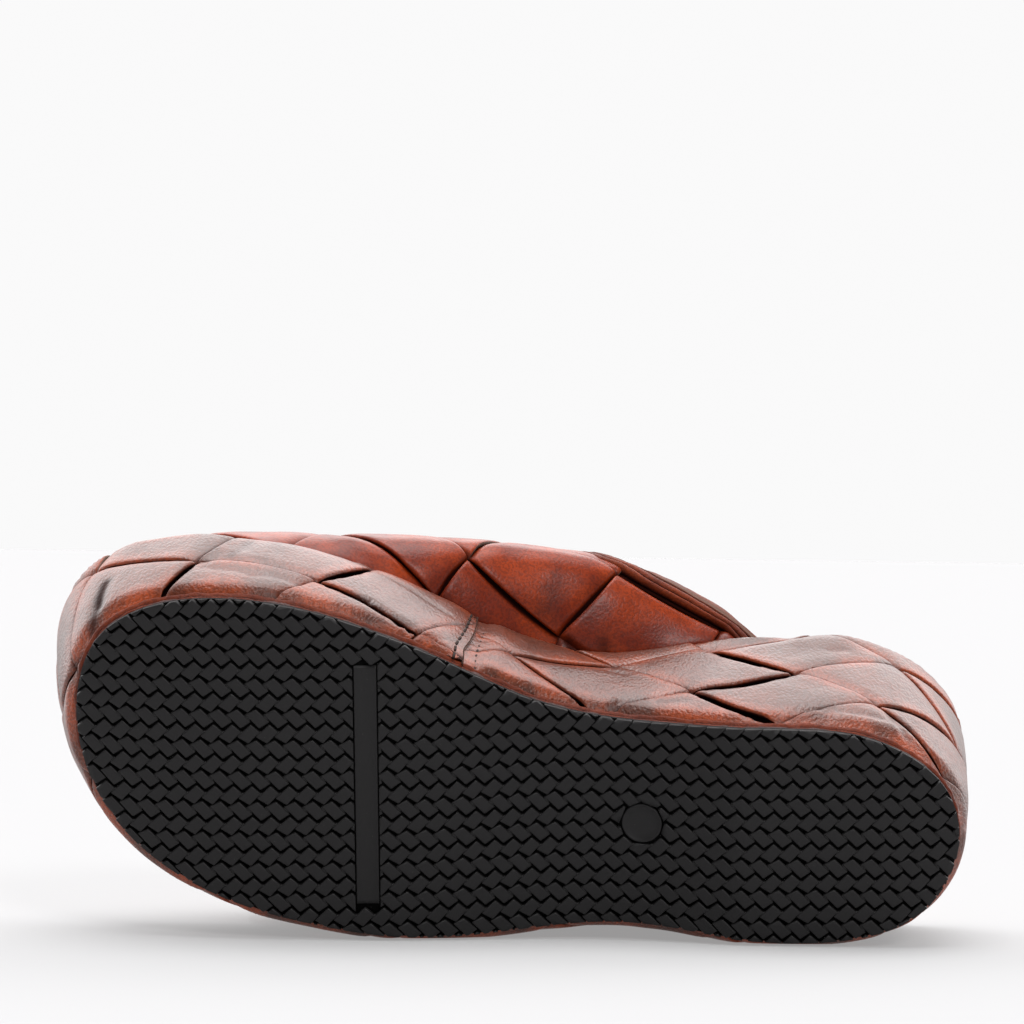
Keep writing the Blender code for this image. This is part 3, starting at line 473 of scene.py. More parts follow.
# ---------------- meshes
class Piece:
    """Corners, faces and shading marks of one piece, in shoe millimetres."""

    MARKS = {"burnish": 0.0, "tone": 0.5, "raw": 0.0}     # shading marks and their plain values

    def __init__(self):
        self.points, self.faces, self.slots = [], [], []
        self.marks = {name: [] for name in self.MARKS}
        self.count = 0

    def add(self, points, **marks):
        """Add corners and their marks, and return the number of the first one."""
        first = self.count
        points = np.asarray(points, float).reshape(-1, 3)
        self.points.append(points)
        for name, plain in self.MARKS.items():
            self.marks[name].append(np.broadcast_to(np.ravel(marks.get(name, plain)), (len(points),)))
        self.count += len(points)
        return first

    def grid(self, points, keep=None, wrap=False, slot=0, flip=False, **marks):
        """Quads over a grid of points, rows by columns; wrap joins the last column to the first."""
        points = np.asarray(points, float)
        rows, columns = points.shape[:2]
        first = self.add(points, **marks)
        number = first + np.arange(rows * columns).reshape(rows, columns)
        if wrap:
            number = np.column_stack([number, number[:, 0]])
        quads = np.stack([number[:-1, :-1], number[1:, :-1], number[1:, 1:], number[:-1, 1:]], axis=-1)
        quads = quads.reshape(-1, 4)
        if keep is not None:
            quads = quads[keep.ravel()]
        if flip:
            quads = quads[:, ::-1]
        self.faces.extend(map(tuple, quads.tolist()))
        self.slots.extend([slot] * len(quads))
        return number

    def face(self, corners, slot=0):
        """One face over corners that are there already."""
        self.faces.append(tuple(int(corner) for corner in corners))
        self.slots.append(slot)

    def cap(self, ring):
        """Close a ring with rungs across the shoe, from its rearmost to its foremost corner."""
        points = np.vstack(self.points)
        ring = [int(corner) for corner in ring]
        along = [points[corner][0] for corner in ring]
        turn = ring[along.index(min(along)):] + ring[:along.index(min(along))]
        along = [points[corner][0] for corner in turn]
        top = along.index(max(along))
        one, two = turn[:top + 1], [turn[0]] + turn[:top - 1:-1]
        i, j = 0, 0
        while i < len(one) - 1 or j < len(two) - 1:
            first = j == len(two) - 1
            if i < len(one) - 1 and j < len(two) - 1:
                first = points[one[i + 1]][0] < points[two[j + 1]][0]
            corners = (one[i], one[i + 1], two[j]) if first else (one[i], two[j + 1], two[j])
            i, j = (i + 1, j) if first else (i, j + 1)
            if len(set(corners)) == 3:
                self.face(corners)

    def cap_ends(self, number):
        """Close both ends of a wrapped grid with rungs across the shoe."""
        for row in (0, -1):
            self.cap(number[row][:-1])

    def close_ends(self, number):
        """Close both ends of a wrapped grid with one face each."""
        for row in (0, -1):
            self.face(number[row][:-1])

    def build(self, name, looks, replaced, closed=True):
        """Blender object of this piece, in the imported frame, riding on the shoe's one body."""
        points = ORIGIN + np.vstack(self.points) @ TURN.T * MM
        mesh = bpy.data.meshes.new(name)
        mesh.from_pydata(points.tolist(), [], self.faces)
        work = bmesh.new()
        work.from_mesh(mesh)
        loose = [corner for corner in work.verts if not corner.link_faces]
        bmesh.ops.delete(work, geom=loose, context="VERTS")
        if closed:
            bmesh.ops.recalc_face_normals(work, faces=work.faces)
        work.to_mesh(mesh)
        work.free()
        used = np.zeros(self.count, bool)
        for face in self.faces:
            used[list(face)] = True
        for mark, values in self.marks.items():
            layer = mesh.attributes.new(mark, "FLOAT", "POINT")
            layer.data.foreach_set("value", np.concatenate(values)[used].astype(np.float32))
        for look in looks:
            mesh.materials.append(look)
        mesh.polygons.foreach_set("material_index", self.slots)
        mesh.polygons.foreach_set("use_smooth", [True] * len(mesh.polygons))
        mesh.update()
        body = bpy.data.objects.new(name, mesh)
        bpy.context.scene.collection.objects.link(body)
        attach(body, "root")
        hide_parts(replaced)
        return body


HEEL_TREAD = (-80.0, -20.0)   # along and across of the two mounts
BALL_TREAD = (54.0, 0.0)


def packed_turn():
    """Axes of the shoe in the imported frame, as columns, and its origin there."""
    mounts = {mount["name"]: mount for mount in frame["record"]["mounts"]}
    heel = np.array(mounts["heel_tread"]["pos_m"])
    ball = np.array(mounts["ball_tread"]["pos_m"])
    up = -np.array(mounts["heel_tread"]["axis"])
    up /= np.linalg.norm(up)
    span = ball - heel
    span -= up * span.dot(up)
    span /= np.linalg.norm(span)
    side = np.cross(up, span)
    step = np.subtract(BALL_TREAD, HEEL_TREAD)
    forward = (step[0] * span - step[1] * side) / np.linalg.norm(step)
    inner = np.cross(up, forward)
    origin = heel - (forward * HEEL_TREAD[0] + inner * HEEL_TREAD[1]) * MM
    return np.column_stack([forward, inner, up]), origin


TURN, ORIGIN = packed_turn()


# ---------------- materials
class Look:
    """A Principled material and short ways to add nodes to it."""

    def __init__(self, name):
        self.material = bpy.data.materials.new(name)
        self.material.use_nodes = True
        self.tree = self.material.node_tree
        self.shader = self.tree.nodes["Principled BSDF"]
        self.where = self.node("ShaderNodeTexCoord").outputs["Object"]

    def node(self, kind, **settings):
        made = self.tree.nodes.new(kind)
        for key, value in settings.items():
            setattr(made, key, value)
        return made

    def put(self, target, value):
        """Link a socket to the target, or set a plain value on it."""
        if isinstance(value, bpy.types.NodeSocket):
            self.tree.links.new(value, target)
        else:
            target.default_value = value

    def math(self, operation, one, two):
        made = self.node("ShaderNodeMath", operation=operation)
        self.put(made.inputs[0], one)
        self.put(made.inputs[1], two)
        return made.outputs[0]

    def times(self, one, two):
        return self.math("MULTIPLY", one, two)

    def plus(self, one, two):
        return self.math("ADD", one, two)

    def ramp(self, value, low, high):
        """0 below low, 1 above high, smooth between."""
        made = self.node("ShaderNodeMapRange", interpolation_type="SMOOTHSTEP")
        self.put(made.inputs["Value"], value)
        made.inputs["From Min"].default_value = low
        made.inputs["From Max"].default_value = high
        return made.outputs["Result"]

    def noise(self, size, detail=2.0, rough=0.5, stretch=None):
        """Noise whose features have this size in mm, from 0 to 1."""
        made = self.node("ShaderNodeTexNoise")
        made.inputs["Scale"].default_value = 1.0 / (size * MM)
        made.inputs["Detail"].default_value = detail
        made.inputs["Roughness"].default_value = rough
        where = self.where
        if stretch:
            scaled = self.node("ShaderNodeMapping")
            scaled.inputs["Scale"].default_value = stretch
            self.put(scaled.inputs["Vector"], where)
            where = scaled.outputs[0]
        self.put(made.inputs["Vector"], where)
        return made.outputs["Fac"]

    def mark(self, name):
        """One of the marks of a piece's corners."""
        return self.node("ShaderNodeAttribute", attribute_name=name).outputs["Fac"]

    def mix(self, part, one, two):
        """Colour that goes from one to two as part goes from 0 to 1."""
        made = self.node("ShaderNodeMix", data_type="RGBA")
        self.put(made.inputs["Factor"], part)
        for socket, value in (("A", one), ("B", two)):
            target = [s for s in made.inputs if s.name == socket and s.type == "RGBA"][0]
            self.put(target, value if isinstance(value, bpy.types.NodeSocket) else (*value, 1.0))
        return [s for s in made.outputs if s.type == "RGBA"][0]

    def bump(self, height, depth, strength=1.0, below=None):
        """Relief of this depth in mm, on top of the relief below."""
        made = self.node("ShaderNodeBump")
        made.inputs["Strength"].default_value = strength
        made.inputs["Distance"].default_value = depth * MM
        self.put(made.inputs["Height"], height)
        if below:
            self.put(made.inputs["Normal"], below)
        return made.outputs["Normal"]

    def set(self, **values):
        """Set or link the shader's inputs by name, and return the material."""
        for key, value in values.items():
            self.put(self.shader.inputs[key.replace("_", " ")], value)
        return self.material


RAW_EDGE = (0.105, 0.060, 0.045)


def leather(name, bright, deep, dark, rough, grain=0.22, stretch=(1.0, 1.0, 1.0), gloss=0.6):
    """Pull-up leather: deep patches, pebbled grain, burnished spots, and painted shade in dives and hollows.
    """
    look = Look(name)
    burnish, raw = look.mark("burnish"), look.mark("raw")
    patches = look.ramp(look.noise(16.0, 3.0), 0.38, 0.66)
    blotch = look.ramp(look.noise(5.0, 4.0, 0.6), 0.35, 0.75)
    pebble = look.noise(0.8, 1.5, 0.5, stretch)
    pores = look.ramp(pebble, 0.56, 0.40)
    colour = look.mix(patches, bright, deep)
    # Deepened by the tone mark: each strip's own tone, and painted shade on the middles of the wall's
    # strips.
    colour = look.mix(look.times(look.mark("tone"), 0.9), colour, deep)
    # Darkened by the darkening mark: painted shade in dives, crevices, folds, grooves and crease troughs,
    # and burnished spots.
    colour = look.mix(look.ramp(look.plus(burnish, look.times(blotch, 0.12)), 0.12, 0.95), colour, dark)
    colour = look.mix(look.times(pores, 0.32), colour, dark)
    colour = look.mix(raw, colour, RAW_EDGE)
    normal = look.bump(look.noise(3.4, 3.0, 0.55, stretch), 0.03, 0.7)
    normal = look.bump(pebble, grain, 1.0, normal)
    rough_map = look.plus(rough, look.times(look.math("SUBTRACT", blotch, 0.5), 0.06))
    rough_map = look.plus(rough_map, look.times(raw, 0.4))
    rough_map = look.plus(rough_map, look.times(look.ramp(burnish, 0.5, 1.0), 0.45))
    # Shine is cut in the darkened hollows and at a strip's orange borders, which shine less than its middle:
    # painted shade on the reflection.
    shine_outside_shade = look.math("SUBTRACT", 1.0, look.times(look.ramp(burnish, 0.25, 0.85), 0.92))
    middle_shine = look.plus(0.45, look.times(look.ramp(look.mark("tone"), 0.05, 0.5), 0.55))
    return look.set(Base_Color=colour, Roughness=rough_map, Normal=normal,
                    Specular_IOR_Level=look.times(look.times(shine_outside_shade, middle_shine), gloss))


def rubber(name, shade, gloss):
    """Moulded rubber with a little dust and a few pale specks."""
    look = Look(name)
    dust = look.ramp(look.noise(7.0, 4.0, 0.65), 0.45, 0.8)
    speck = look.ramp(look.noise(0.7, 2.0), 0.70, 0.80)
    colour = look.mix(look.times(dust, 0.35), shade, tuple(2.0 * c for c in shade))
    colour = look.mix(look.times(speck, 0.10), colour, (0.22, 0.21, 0.21))
    normal = look.bump(look.noise(0.45, 2.0), 0.035, 0.6)
    rough = look.plus(0.50, look.times(dust, 0.15))
    return look.set(Base_Color=colour, Roughness=rough, Normal=normal, Specular_IOR_Level=gloss)


def thread():
    """Waxed thread, nearly black."""
    look = Look("waxed_thread")
    colour = look.mix(look.noise(0.8), (0.012, 0.006, 0.005), (0.030, 0.013, 0.009))
    twist = look.bump(look.noise(0.35, 2.0), 0.05, 0.8)
    return look.set(Base_Color=colour, Roughness=0.6, Normal=twist, Specular_IOR_Level=0.12)


STRIP_LEATHER = leather("strip_leather", (0.31, 0.045, 0.005), (0.080, 0.017, 0.006),
                        (0.014, 0.003, 0.002), 0.36, 0.26, (1.0, 0.5, 1.0), gloss=0.66)
VAMP_LEATHER = leather("vamp_leather", (0.31, 0.036, 0.003), (0.15, 0.014, 0.002),
                       (0.018, 0.004, 0.003), 0.36, 0.08, gloss=0.36)
BAND_LEATHER = leather("band_leather", (0.20, 0.031, 0.006), (0.10, 0.015, 0.004),
                       (0.024, 0.006, 0.005), 0.58, 0.16, gloss=0.16)
CORE_LEATHER = leather("core_leather", (0.060, 0.010, 0.006), (0.040, 0.007, 0.004),
                       (0.015, 0.004, 0.003), 0.7)
LINING = leather("lining_leather", (0.46, 0.22, 0.11), (0.38, 0.17, 0.08), (0.12, 0.05, 0.03), 0.55,
                 0.05)
RUBBER = rubber("tread_rubber", (0.0095, 0.0088, 0.0092), 0.25)
# Darker, duller copies of the tread rubber: painted shade on the groove floor and on the slab's side.
GROOVE_SHADE_RUBBER = rubber("groove_shade_rubber", (0.002, 0.002, 0.002), 0.03)
RIM_SHADE_RUBBER = rubber("rim_shade_rubber", (0.006, 0.0055, 0.006), 0.10)
THREAD = thread()


# ---------------- creases
# Creases and burnished spots. Columns: start and end (place and height on the wall, along and girth on
# the vamp), half width, rise (below 0 for a trough), darkening: painted shade in the troughs, burnish on the
# spots.
WALL_CREASES = (
    (258.0, 17.0, 261.5, 8.0, 2.4, -0.45, 0.80),     # toe: streak down the big pad
    (261.5, 8.0, 268.0, 0.5, 2.6, -0.45, 0.70),
    (232.5, 13.0, 220.0, 10.8, 2.0, -0.45, 0.10),    # toe: hollow below the upper strip
    (220.0, 10.8, 207.0, 9.8, 1.8, -0.45, 0.10),
    (233.0, 17.5, 229.0, 22.5, 2.0, -0.50, 0.10),
    (226.5, 20.5, 222.0, 31.0, 2.2, -0.25, 0.45),
    (186.0, 34.0, 178.0, 32.4, 0.9, -0.45, 0.40),    # fold beside the rim at the waist
    (178.0, 32.4, 165.0, 25.5, 0.9, -0.45, 0.40),
    (199.0, 12.6, 187.0, 11.8, 0.9, -0.50, 0.50),    # doubled edge above the waist crevice
    (187.0, 11.8, 174.5, 7.4, 0.9, -0.50, 0.50),
    (191.0, 2.6, 178.0, 4.8, 1.1, -0.40, 0.50),
    (172.0, 4.8, 167.0, 2.6, 1.0, 0.55, 0.00),       # puckers beside the join
    (175.0, 4.2, 170.5, 2.6, 0.9, -0.50, 0.50),
    (169.0, 6.0, 163.5, 2.6, 1.0, -0.55, 0.45),
    (166.0, 6.5, 161.0, 11.0, 1.0, -0.40, 0.40),
    (116.0, 25.5, 109.0, 24.0, 1.3, -0.40, 0.20),
    (101.0, 10.5, 91.0, 15.2, 1.2, -0.35, 0.20),
    (99.0, 7.5, 91.0, 9.5, 2.2, -0.35, 0.45),
    (113.5, 2.6, 111.5, 5.0, 0.9, 0.60, 0.10),       # wrinkle at the foot of the waist
    (111.8, 2.6, 110.0, 4.6, 0.7, -0.45, 0.30),
    (110.0, 2.6, 108.5, 4.2, 0.9, 0.50, 0.10),
    (66.0, 4.0, 55.0, 8.0, 1.3, -0.40, 0.30),        # heel: gathered leather above the band
    (64.0, 3.0, 50.0, 4.5, 1.1, -0.35, 0.35),
    (49.0, 3.6, 39.0, 4.6, 1.5, 0.50, 0.00),
    (53.0, 6.8, 38.0, 8.4, 1.6, -0.45, 0.30),
    (36.0, 11.5, 30.0, 4.5, 1.3, -0.45, 0.40),
    (31.0, 6.0, 22.0, 3.0, 1.6, -0.45, 0.35),
    (49.5, 45.5, 46.5, 47.0, 1.3, -0.40, 0.20),
    (82.0, 50.5, 60.0, 57.0, 3.6, -1.70, 0.30),      # heel: strip drawn in below the rim
    (56.0, 51.0, 47.0, 54.0, 5.0, 0.80, 0.00),
)
VAMP_CREASES = (
    (-10.5, 29.5, -7.5, 22.0, 5.5, -0.30, 0.42),
    (-20.0, 23.5, -22.5, 31.5, 4.6, -0.15, 0.36),
    (-25.0, 15.5, -25.5, 11.0, 3.4, -0.25, 0.55),
    (-14.5, 14.5, -17.5, 9.5, 2.6, -0.30, 0.75),
    (20.0, 12.0, 13.0, 8.5, 4.0, -0.15, 0.40),
    (-36.0, 23.0, -50.0, 18.0, 5.0, -0.30, 0.00),
    (-45.0, 11.5, -52.0, 13.5, 3.6, 0.40, 0.00),
    (48.0, 20.0, 36.0, 17.0, 3.2, 0.45, 0.00),
    (45.0, 14.5, 32.0, 15.0, 2.8, -0.40, 0.10),
    (1.0, 33.0, -14.0, 31.0, 6.0, -0.35, 0.00),
    (8.0, 20.0, -4.0, 14.0, 3.6, -0.25, 0.20),
)
# Crevices where a strip dives deep below its neighbour, darkened with painted shade. Columns: the strip's
# cell, its end (0 or 1), and the crevice's width and depth in mm.
WALL_CREVICES = (
    (2, 1, 0, 2.2, 1.1), (1, 1, 1, 2.2, 1.2), (2, 0, 1, 1.2, 0.8),     # toe
    (0, 0, 1, 2.8, 1.4), (0, 1, 0, 2.8, 1.4),
    (12, 11, 0, 1.6, 1.1), (12, 10, 1, 1.3, 0.9), (13, 10, 0, 1.1, 0.8),     # waist
    (12, 9, 0, 3.8, 1.8), (11, 9, 1, 3.4, 1.8), (11, 10, 0, 3.2, 1.6), (12, 8, 1, 2.0, 1.3),
    (11, 7, 1, 3.4, 1.7), (10, 8, 1, 2.6, 1.4), (11, 8, 0, 1.0, 0.8), (10, 9, 0, 1.3, 0.9),     # heel
)
VAMP_CREVICES = (
    (0, 0, 1, 1.1, 0.9), (0, 1, 1, 1.2, 0.9), (-1, 0, 1, 1.1, 0.9), (1, 1, 1, 1.4, 1.0),
)


def creased(one, two, table):
    """Rise and darkening that the creases give at these places: painted shade and burnish."""
    rise, burnish = np.zeros(len(one)), np.zeros(len(one))
    for one_a, two_a, one_b, two_b, half, height, mark in table:
        way = np.array([one_b - one_a, two_b - two_a])
        part = np.clip(((one - one_a) * way[0] + (two - two_a) * way[1]) / (way @ way), 0.0, 1.0)
        away = np.hypot(one - one_a - part * way[0], two - two_a - part * way[1])
        soft = np.exp(-(away / half) ** 2)
        rise += height * soft
        burnish = np.maximum(burnish, mark * soft)
    return rise, burnish


# ---------------- woven strips
def strip_places(first, second, is_first, across, along):
    """Lattice coordinates of a strip's own across and along."""
    return (first + across, second + along) if is_first else (first + along, second + across)


def spaced(size, border, least):
    """Even steps between the borders on both sides, without the borders themselves."""
    steps = max(int((size - 2.0 * border) / SPACING), least)
    return np.linspace(border, size - border, steps + 1)[1:-1]


def strip_grid(lattice_place, skin, kind, cell, is_first, crevices):
    """Grid of one strip where it lies on top: its places on the skin, its lift and its marks."""
    first, second = cell
    dives, fold, ends = np.array(DIVE[kind]), np.array(FOLD), np.array(STRIP_ENDS)
    level_at = spline(dives[:, 0], dives[:, 1])
    zero = np.zeros(1)

    def middle(across, along):
        u, v = strip_places(first, second, is_first, across + zero, along + zero)
        return skin(*lattice_place(u, v), zero)[0]

    # The strip is measured over nine tenths of its width and length.
    width = np.linalg.norm(middle(0.95, 0.5) - middle(0.05, 0.5)) / 0.9
    length = np.linalg.norm(middle(0.5, 0.95) - middle(0.5, 0.05)) / 0.9
    inside = spaced(width, fold[-1, 0], 3)
    across = np.concatenate([fold[:, 0], inside, width - fold[::-1, 0]])
    drop = np.concatenate([fold[:, 1], np.zeros(len(inside)), fold[::-1, 1]])
    along = np.concatenate([ends, spaced(length, ends[-1], 2), length - ends[::-1]])
    near, side = np.minimum(along, length - along), np.minimum(across, width - across)
    level = np.where(near > dives[-1, 0], dives[-1, 1], level_at(np.clip(near, dives[0, 0], dives[-1, 0])))
    crown = PUFF * np.clip(1.0 - (2.0 * across / width - 1.0) ** 2, 0.0, 1.0) ** 0.7
    lively = np.clip(near / CROWN_EASE, 0.0, 1.0)
    lift = level[None, :] + drop[:, None] + crown[:, None] * lively[None, :]

    groove = np.zeros(lift.shape)
    taper = CREVICE["tip"] + CREVICE["swell"] * np.clip(across / width * (1.0 - across / width), 0.0, 0.25)
    for cell_one, cell_two, end, wide, depth in crevices:
        if (cell_one, cell_two) == cell:
            past = length - along if end else along
            part = 1.0 - ease((past[None, :] - wide * taper[:, None]) / CREVICE["side"] + 0.5)
            lift = np.maximum(lift - depth * part, np.minimum(lift, CREVICE["floor"]))
            groove = np.maximum(groove, part)

    grid_a, grid_b = np.meshgrid(across / width, along / length, indexing="ij")
    one, two = lattice_place(*strip_places(first, second, is_first, grid_a.ravel(), grid_b.ravel()))
    folded = drop < FOLDED
    # Painted shade: in the dive at the strip's ends, on its folded sides and in its crevices.
    dive = DIVE_SHADE["most"] * np.exp(-np.maximum(near, 0.0) / DIVE_SHADE["length"])
    under = ease((-drop - FOLD_SHADE["from"]) / FOLD_SHADE["over"])
    edge = (FOLD_SHADE["least"] + FOLD_SHADE["gain"] * under) * (folded & (side < FOLD_SHADE["width"]))
    burnish = np.clip(np.maximum(dive[None, :] + edge[:, None], groove), 0.0, 1.0)
    raw = np.broadcast_to(folded[:, None], lift.shape).astype(float)
    # Deep runs from 0 at the borders to 1 in the middle, where the painted shade is laid.
    deep = (np.clip(side / DEEP_EASE["side"], 0.0, 1.0)[:, None]
            * np.clip(near / DEEP_EASE["end"], 0.0, 1.0)[None, :])
    return one, two, lift, burnish.ravel(), raw.ravel(), deep.ravel()


ROUNDING = (-0.16, -0.08, 0.0, 0.08, 0.16)     # spread over which a lattice's kinks are rounded off


def smooth_interp(at, knots, values):
    """Straight interpolation with its corners rounded off."""
    return sum(np.interp(at + shift, knots, values) for shift in ROUNDING) / len(ROUNDING)


def lattice(table, way):
    """Function from lattice coordinates to places on a skin; way is the sign that levels count in."""
    table = np.array(table)

    def place(first, second):
        level = way * (first - second)
        one, two, lean, step = (smooth_interp(first + second, table[:, 0], table[:, k]) for k in range(1, 5))
        return one + lean * level, two + step * level

    return place


wall_lattice = lattice(WALL_WEAVE, 1.0)
vamp_lattice = lattice(VAMP_WEAVE, -1.0)


def touching(inside):
    """Faces of a grid that have at least one corner inside."""
    return inside[:-1, :-1] | inside[1:, :-1] | inside[1:, 1:] | inside[:-1, 1:]


def lattice_cells(sums, differences):
    """Cells of a lattice whose columns and levels lie in these ranges."""
    return [((total + apart) // 2, (total - apart) // 2) for total in sums for apart in differences
            if (total + apart) % 2 == 0]


# Strips whose cut side edges stay bare.
RAW_STRIPS = {"wall": ((3, 0),), "vamp": ((-1, 1), (0, 2), (-2, 0))}
BAND_TOP = 1.7                # the strips are turned under along a plain band this high
BAND_TURN = 1.2               # and run on this far behind it
# How far up the strips bend in above the band. Columns: place, mm.
TUCK = ((0.0, 6.0), (30.0, 6.0), (52.0, 4.6), (66.0, 3.2), (85.0, 2.6), (108.0, 2.4), (165.0, 2.4),
        (178.0, 3.0), (195.0, 2.8), (210.0, 2.4), (243.0, 2.4), (252.0, 4.5), (275.0, 5.0), (300.0, 3.0),
        (790.0, 5.0))
TUCK_DEPTH = -0.3             # level of the strips where they meet the band
LAP = 4.0                     # the heel end runs on this far below the toe end at the join
JOIN_PRESS = 9.0              # length in which the weave is pressed flat beside the join
RIM_REACH = 6.6               # how far the strips run on over the rim
OUTER_SIDE = (WALL_JOIN + PERIMETER * 0.42, 690.0)     # strips between these places are the outer piece

# The join: the toe end's cut edge, and the stitches beside it. Columns: height, mm from the join.
JOIN_EDGE = ((0.0, 0.3), (8.0, 1.2), (16.0, 0.0), (24.0, -0.6), (60.0, -0.6))
JOIN_ROWS = {"toe_end": ((0.0, 3.5), (9.0, 4.0), (22.5, 2.4), (40.0, 1.4)),
             "heel_end": ((0.0, -3.6), (9.0, -2.8), (16.0, -2.8), (36.0, -3.6))}
JOIN_BASE = {"toe_end": WALL_JOIN, "heel_end": WALL_JOIN + PERIMETER}
JOIN_LEVEL = {"toe_end": 0.8, "heel_end": -0.5}
JOIN_HIGH = {"toe_end": 40.0, "heel_end": 33.0}     # where the rows of stitches end
# The cut edge's section: mm past the edge, level against the leather's.
JOIN_CUT = ((0.5, 0.02), (0.1, 0.05), (-0.08, -0.15), (-0.12, -0.7))
JOIN_UNDER = -0.75            # level of the leather below it
STITCH = {"first": 1.2, "pitch": 3.7, "length": 3.0, "radius": 0.42, "sunk": 0.38, "corners": 7}
STITCH_RISE = np.array([0.05, 0.35, 0.48, 0.5, 0.48, 0.35, 0.05])
# What the stitches do to the leather. Columns: depth, half width.
STITCH_PULL, STITCH_PUCKER = (0.32, 0.9), (0.08, 2.2)


def column(table, at, shift=0.0):
    """Second column of a table over its first, shifted."""
    table = np.array(table)
    return shift + np.interp(at, table[:, 0], table[:, 1])


def join_relief(place, height, end):
    """The leather drawn in along a row of stitches, with puckers between them."""
    away = place - column(JOIN_ROWS[end], height, JOIN_BASE[end])
    pull, pucker = (depth * np.exp(-(away / half) ** 2) for depth, half in (STITCH_PULL, STITCH_PUCKER))
    return pucker * np.sin(height * 2.0 * math.pi / STITCH["pitch"]) - pull


def wall_lift(place, height, lift):
    """Strips turned in above the bottom band and pressed flat at the stitched join."""
    low = ease((height - BAND_TOP + 0.4) / column(TUCK, np.mod(place, PERIMETER)))
    lift = TUCK_DEPTH + (lift - TUCK_DEPTH) * low
    beside = {"toe_end": place - column(JOIN_EDGE, height, WALL_JOIN) - 1.0,
              "heel_end": WALL_JOIN + PERIMETER - place}
    for end, away in beside.items():
        pressed = 1.0 - ease(away / JOIN_PRESS)
        lift = lift + (JOIN_LEVEL[end] - lift) * pressed + join_relief(place, height, end)
    return lift


def make_join():
    """Cut edge of the toe end where it laps over the heel end, and the stitches on both."""
    heights = np.linspace(0.3, 42.0, 120)
    edge = column(JOIN_EDGE, heights, WALL_JOIN)
    top = JOIN_LEVEL["toe_end"] + join_relief(edge, heights, "toe_end")
    rows = [wall_skin(edge + shift, heights, top + level) for shift, level in JOIN_CUT]
    rows.append(wall_skin(edge, heights, JOIN_UNDER))
    piece = Piece()
    # The cut edge and the leather under it: raw edge colour, and painted shade beside the lap.
    piece.grid(np.array(rows), raw=0.3, burnish=0.9)
    piece.build("join_edge", [STRIP_LEATHER], "wedge", closed=False)
    piece = Piece()
    for end, high in JOIN_HIGH.items():
        for start in np.arange(STITCH["first"], high, STITCH["pitch"]):
            height = start + np.linspace(0.0, STITCH["length"], len(STITCH_RISE))
            place = column(JOIN_ROWS[end], height, JOIN_BASE[end])
            lift = JOIN_LEVEL[end] - STITCH["sunk"] + STITCH_RISE + join_relief(place, height, end) * 0.5
            add_thread(piece, wall_skin(place, height, lift), wall_skin(place, height, lift + 1.0))
    piece.build("join_stitches", [THREAD], "wedge")


def add_thread(piece, points, above):
    """A short length of thread through these points; above gives the way off the leather."""
    ahead = np.gradient(points, axis=0)
    ahead /= np.linalg.norm(ahead, axis=1)[:, None]
    up = above - points
    side = np.cross(ahead, up)
    side /= np.linalg.norm(side, axis=1)[:, None]
    up = np.cross(side, ahead)
    cosines, sines = circle(STITCH["corners"])
    ring = cosines[None, :, None] * side[:, None, :] + sines[None, :, None] * up[:, None, :]
    piece.close_ends(piece.grid(points[:, None, :] + STITCH["radius"] * ring, wrap=True))


def make_wall_weave():
    """The woven strips of the wedge, in two pieces: inner side with toe, outer side with heel."""
    pieces = {"wedge_weave_inner": Piece(), "wedge_weave_outer": Piece()}
    last = WALL_JOIN + PERIMETER + LAP
    for number, cell in enumerate(lattice_cells(range(-3, 27), range(-4, 8))):
        is_first = (cell[0] + cell[1]) % 2 == 1
        place, height, lift, burnish, raw, deep = strip_grid(wall_lattice, wall_skin, "wall", cell, is_first,
                                                             WALL_CREVICES)
        shape, lift = lift.shape, lift.ravel()
        top = wall_height(place) + RIM_REACH
        start = column(JOIN_EDGE, height, WALL_JOIN)
        inside = (height > BAND_TOP - BAND_TURN) & (height < top) & (place > start) & (place < last)
        keep = touching(inside.reshape(shape))
        if not keep.any():
            continue
        place = np.clip(place, start, last)
        below = np.clip(BAND_TOP - height, 0.0, BAND_TURN)
        height = np.clip(height, BAND_TOP, wall_height(place) + RIM_REACH)
        rise, mark = creased(np.mod(place, PERIMETER), height, WALL_CREASES)
        wave = uneven("wall", wall_skin(place, height, 0.0)) + rise * np.clip(lift + 0.5, 0.0, 1.0)
        lifted = wall_lift(place, height - below, lift + wave) + 0.02 * is_first
        points = wall_skin(place, height, lifted)
        # Deeper in the middle of a strip, orange at its borders and above the band: painted shade on the
        # middles that face up and painted light on the borders that face the front; each strip also gets its
        # own tone.
        tone = 0.12 * scatter(number, 12.9898, 43758.5453)
        tone = tone + (0.15 + 0.7 * deep) * (0.15 + 0.85 * ease((height - 3.0) / 7.0))
        is_outer = OUTER_SIDE[0] <= place.mean() <= OUTER_SIDE[1]
        piece = pieces["wedge_weave_outer" if is_outer else "wedge_weave_inner"]
        piece.grid(points.reshape(*shape, 3), keep, flip=is_first, burnish=np.maximum(burnish, mark),
                   tone=tone, raw=raw * (cell in RAW_STRIPS["wall"]))
    for name, piece in pieces.items():
        piece.build(name, [STRIP_LEATHER], "wedge", closed=False)


CORE_DEPTH = -2.1             # level of the wedge's body below the strips


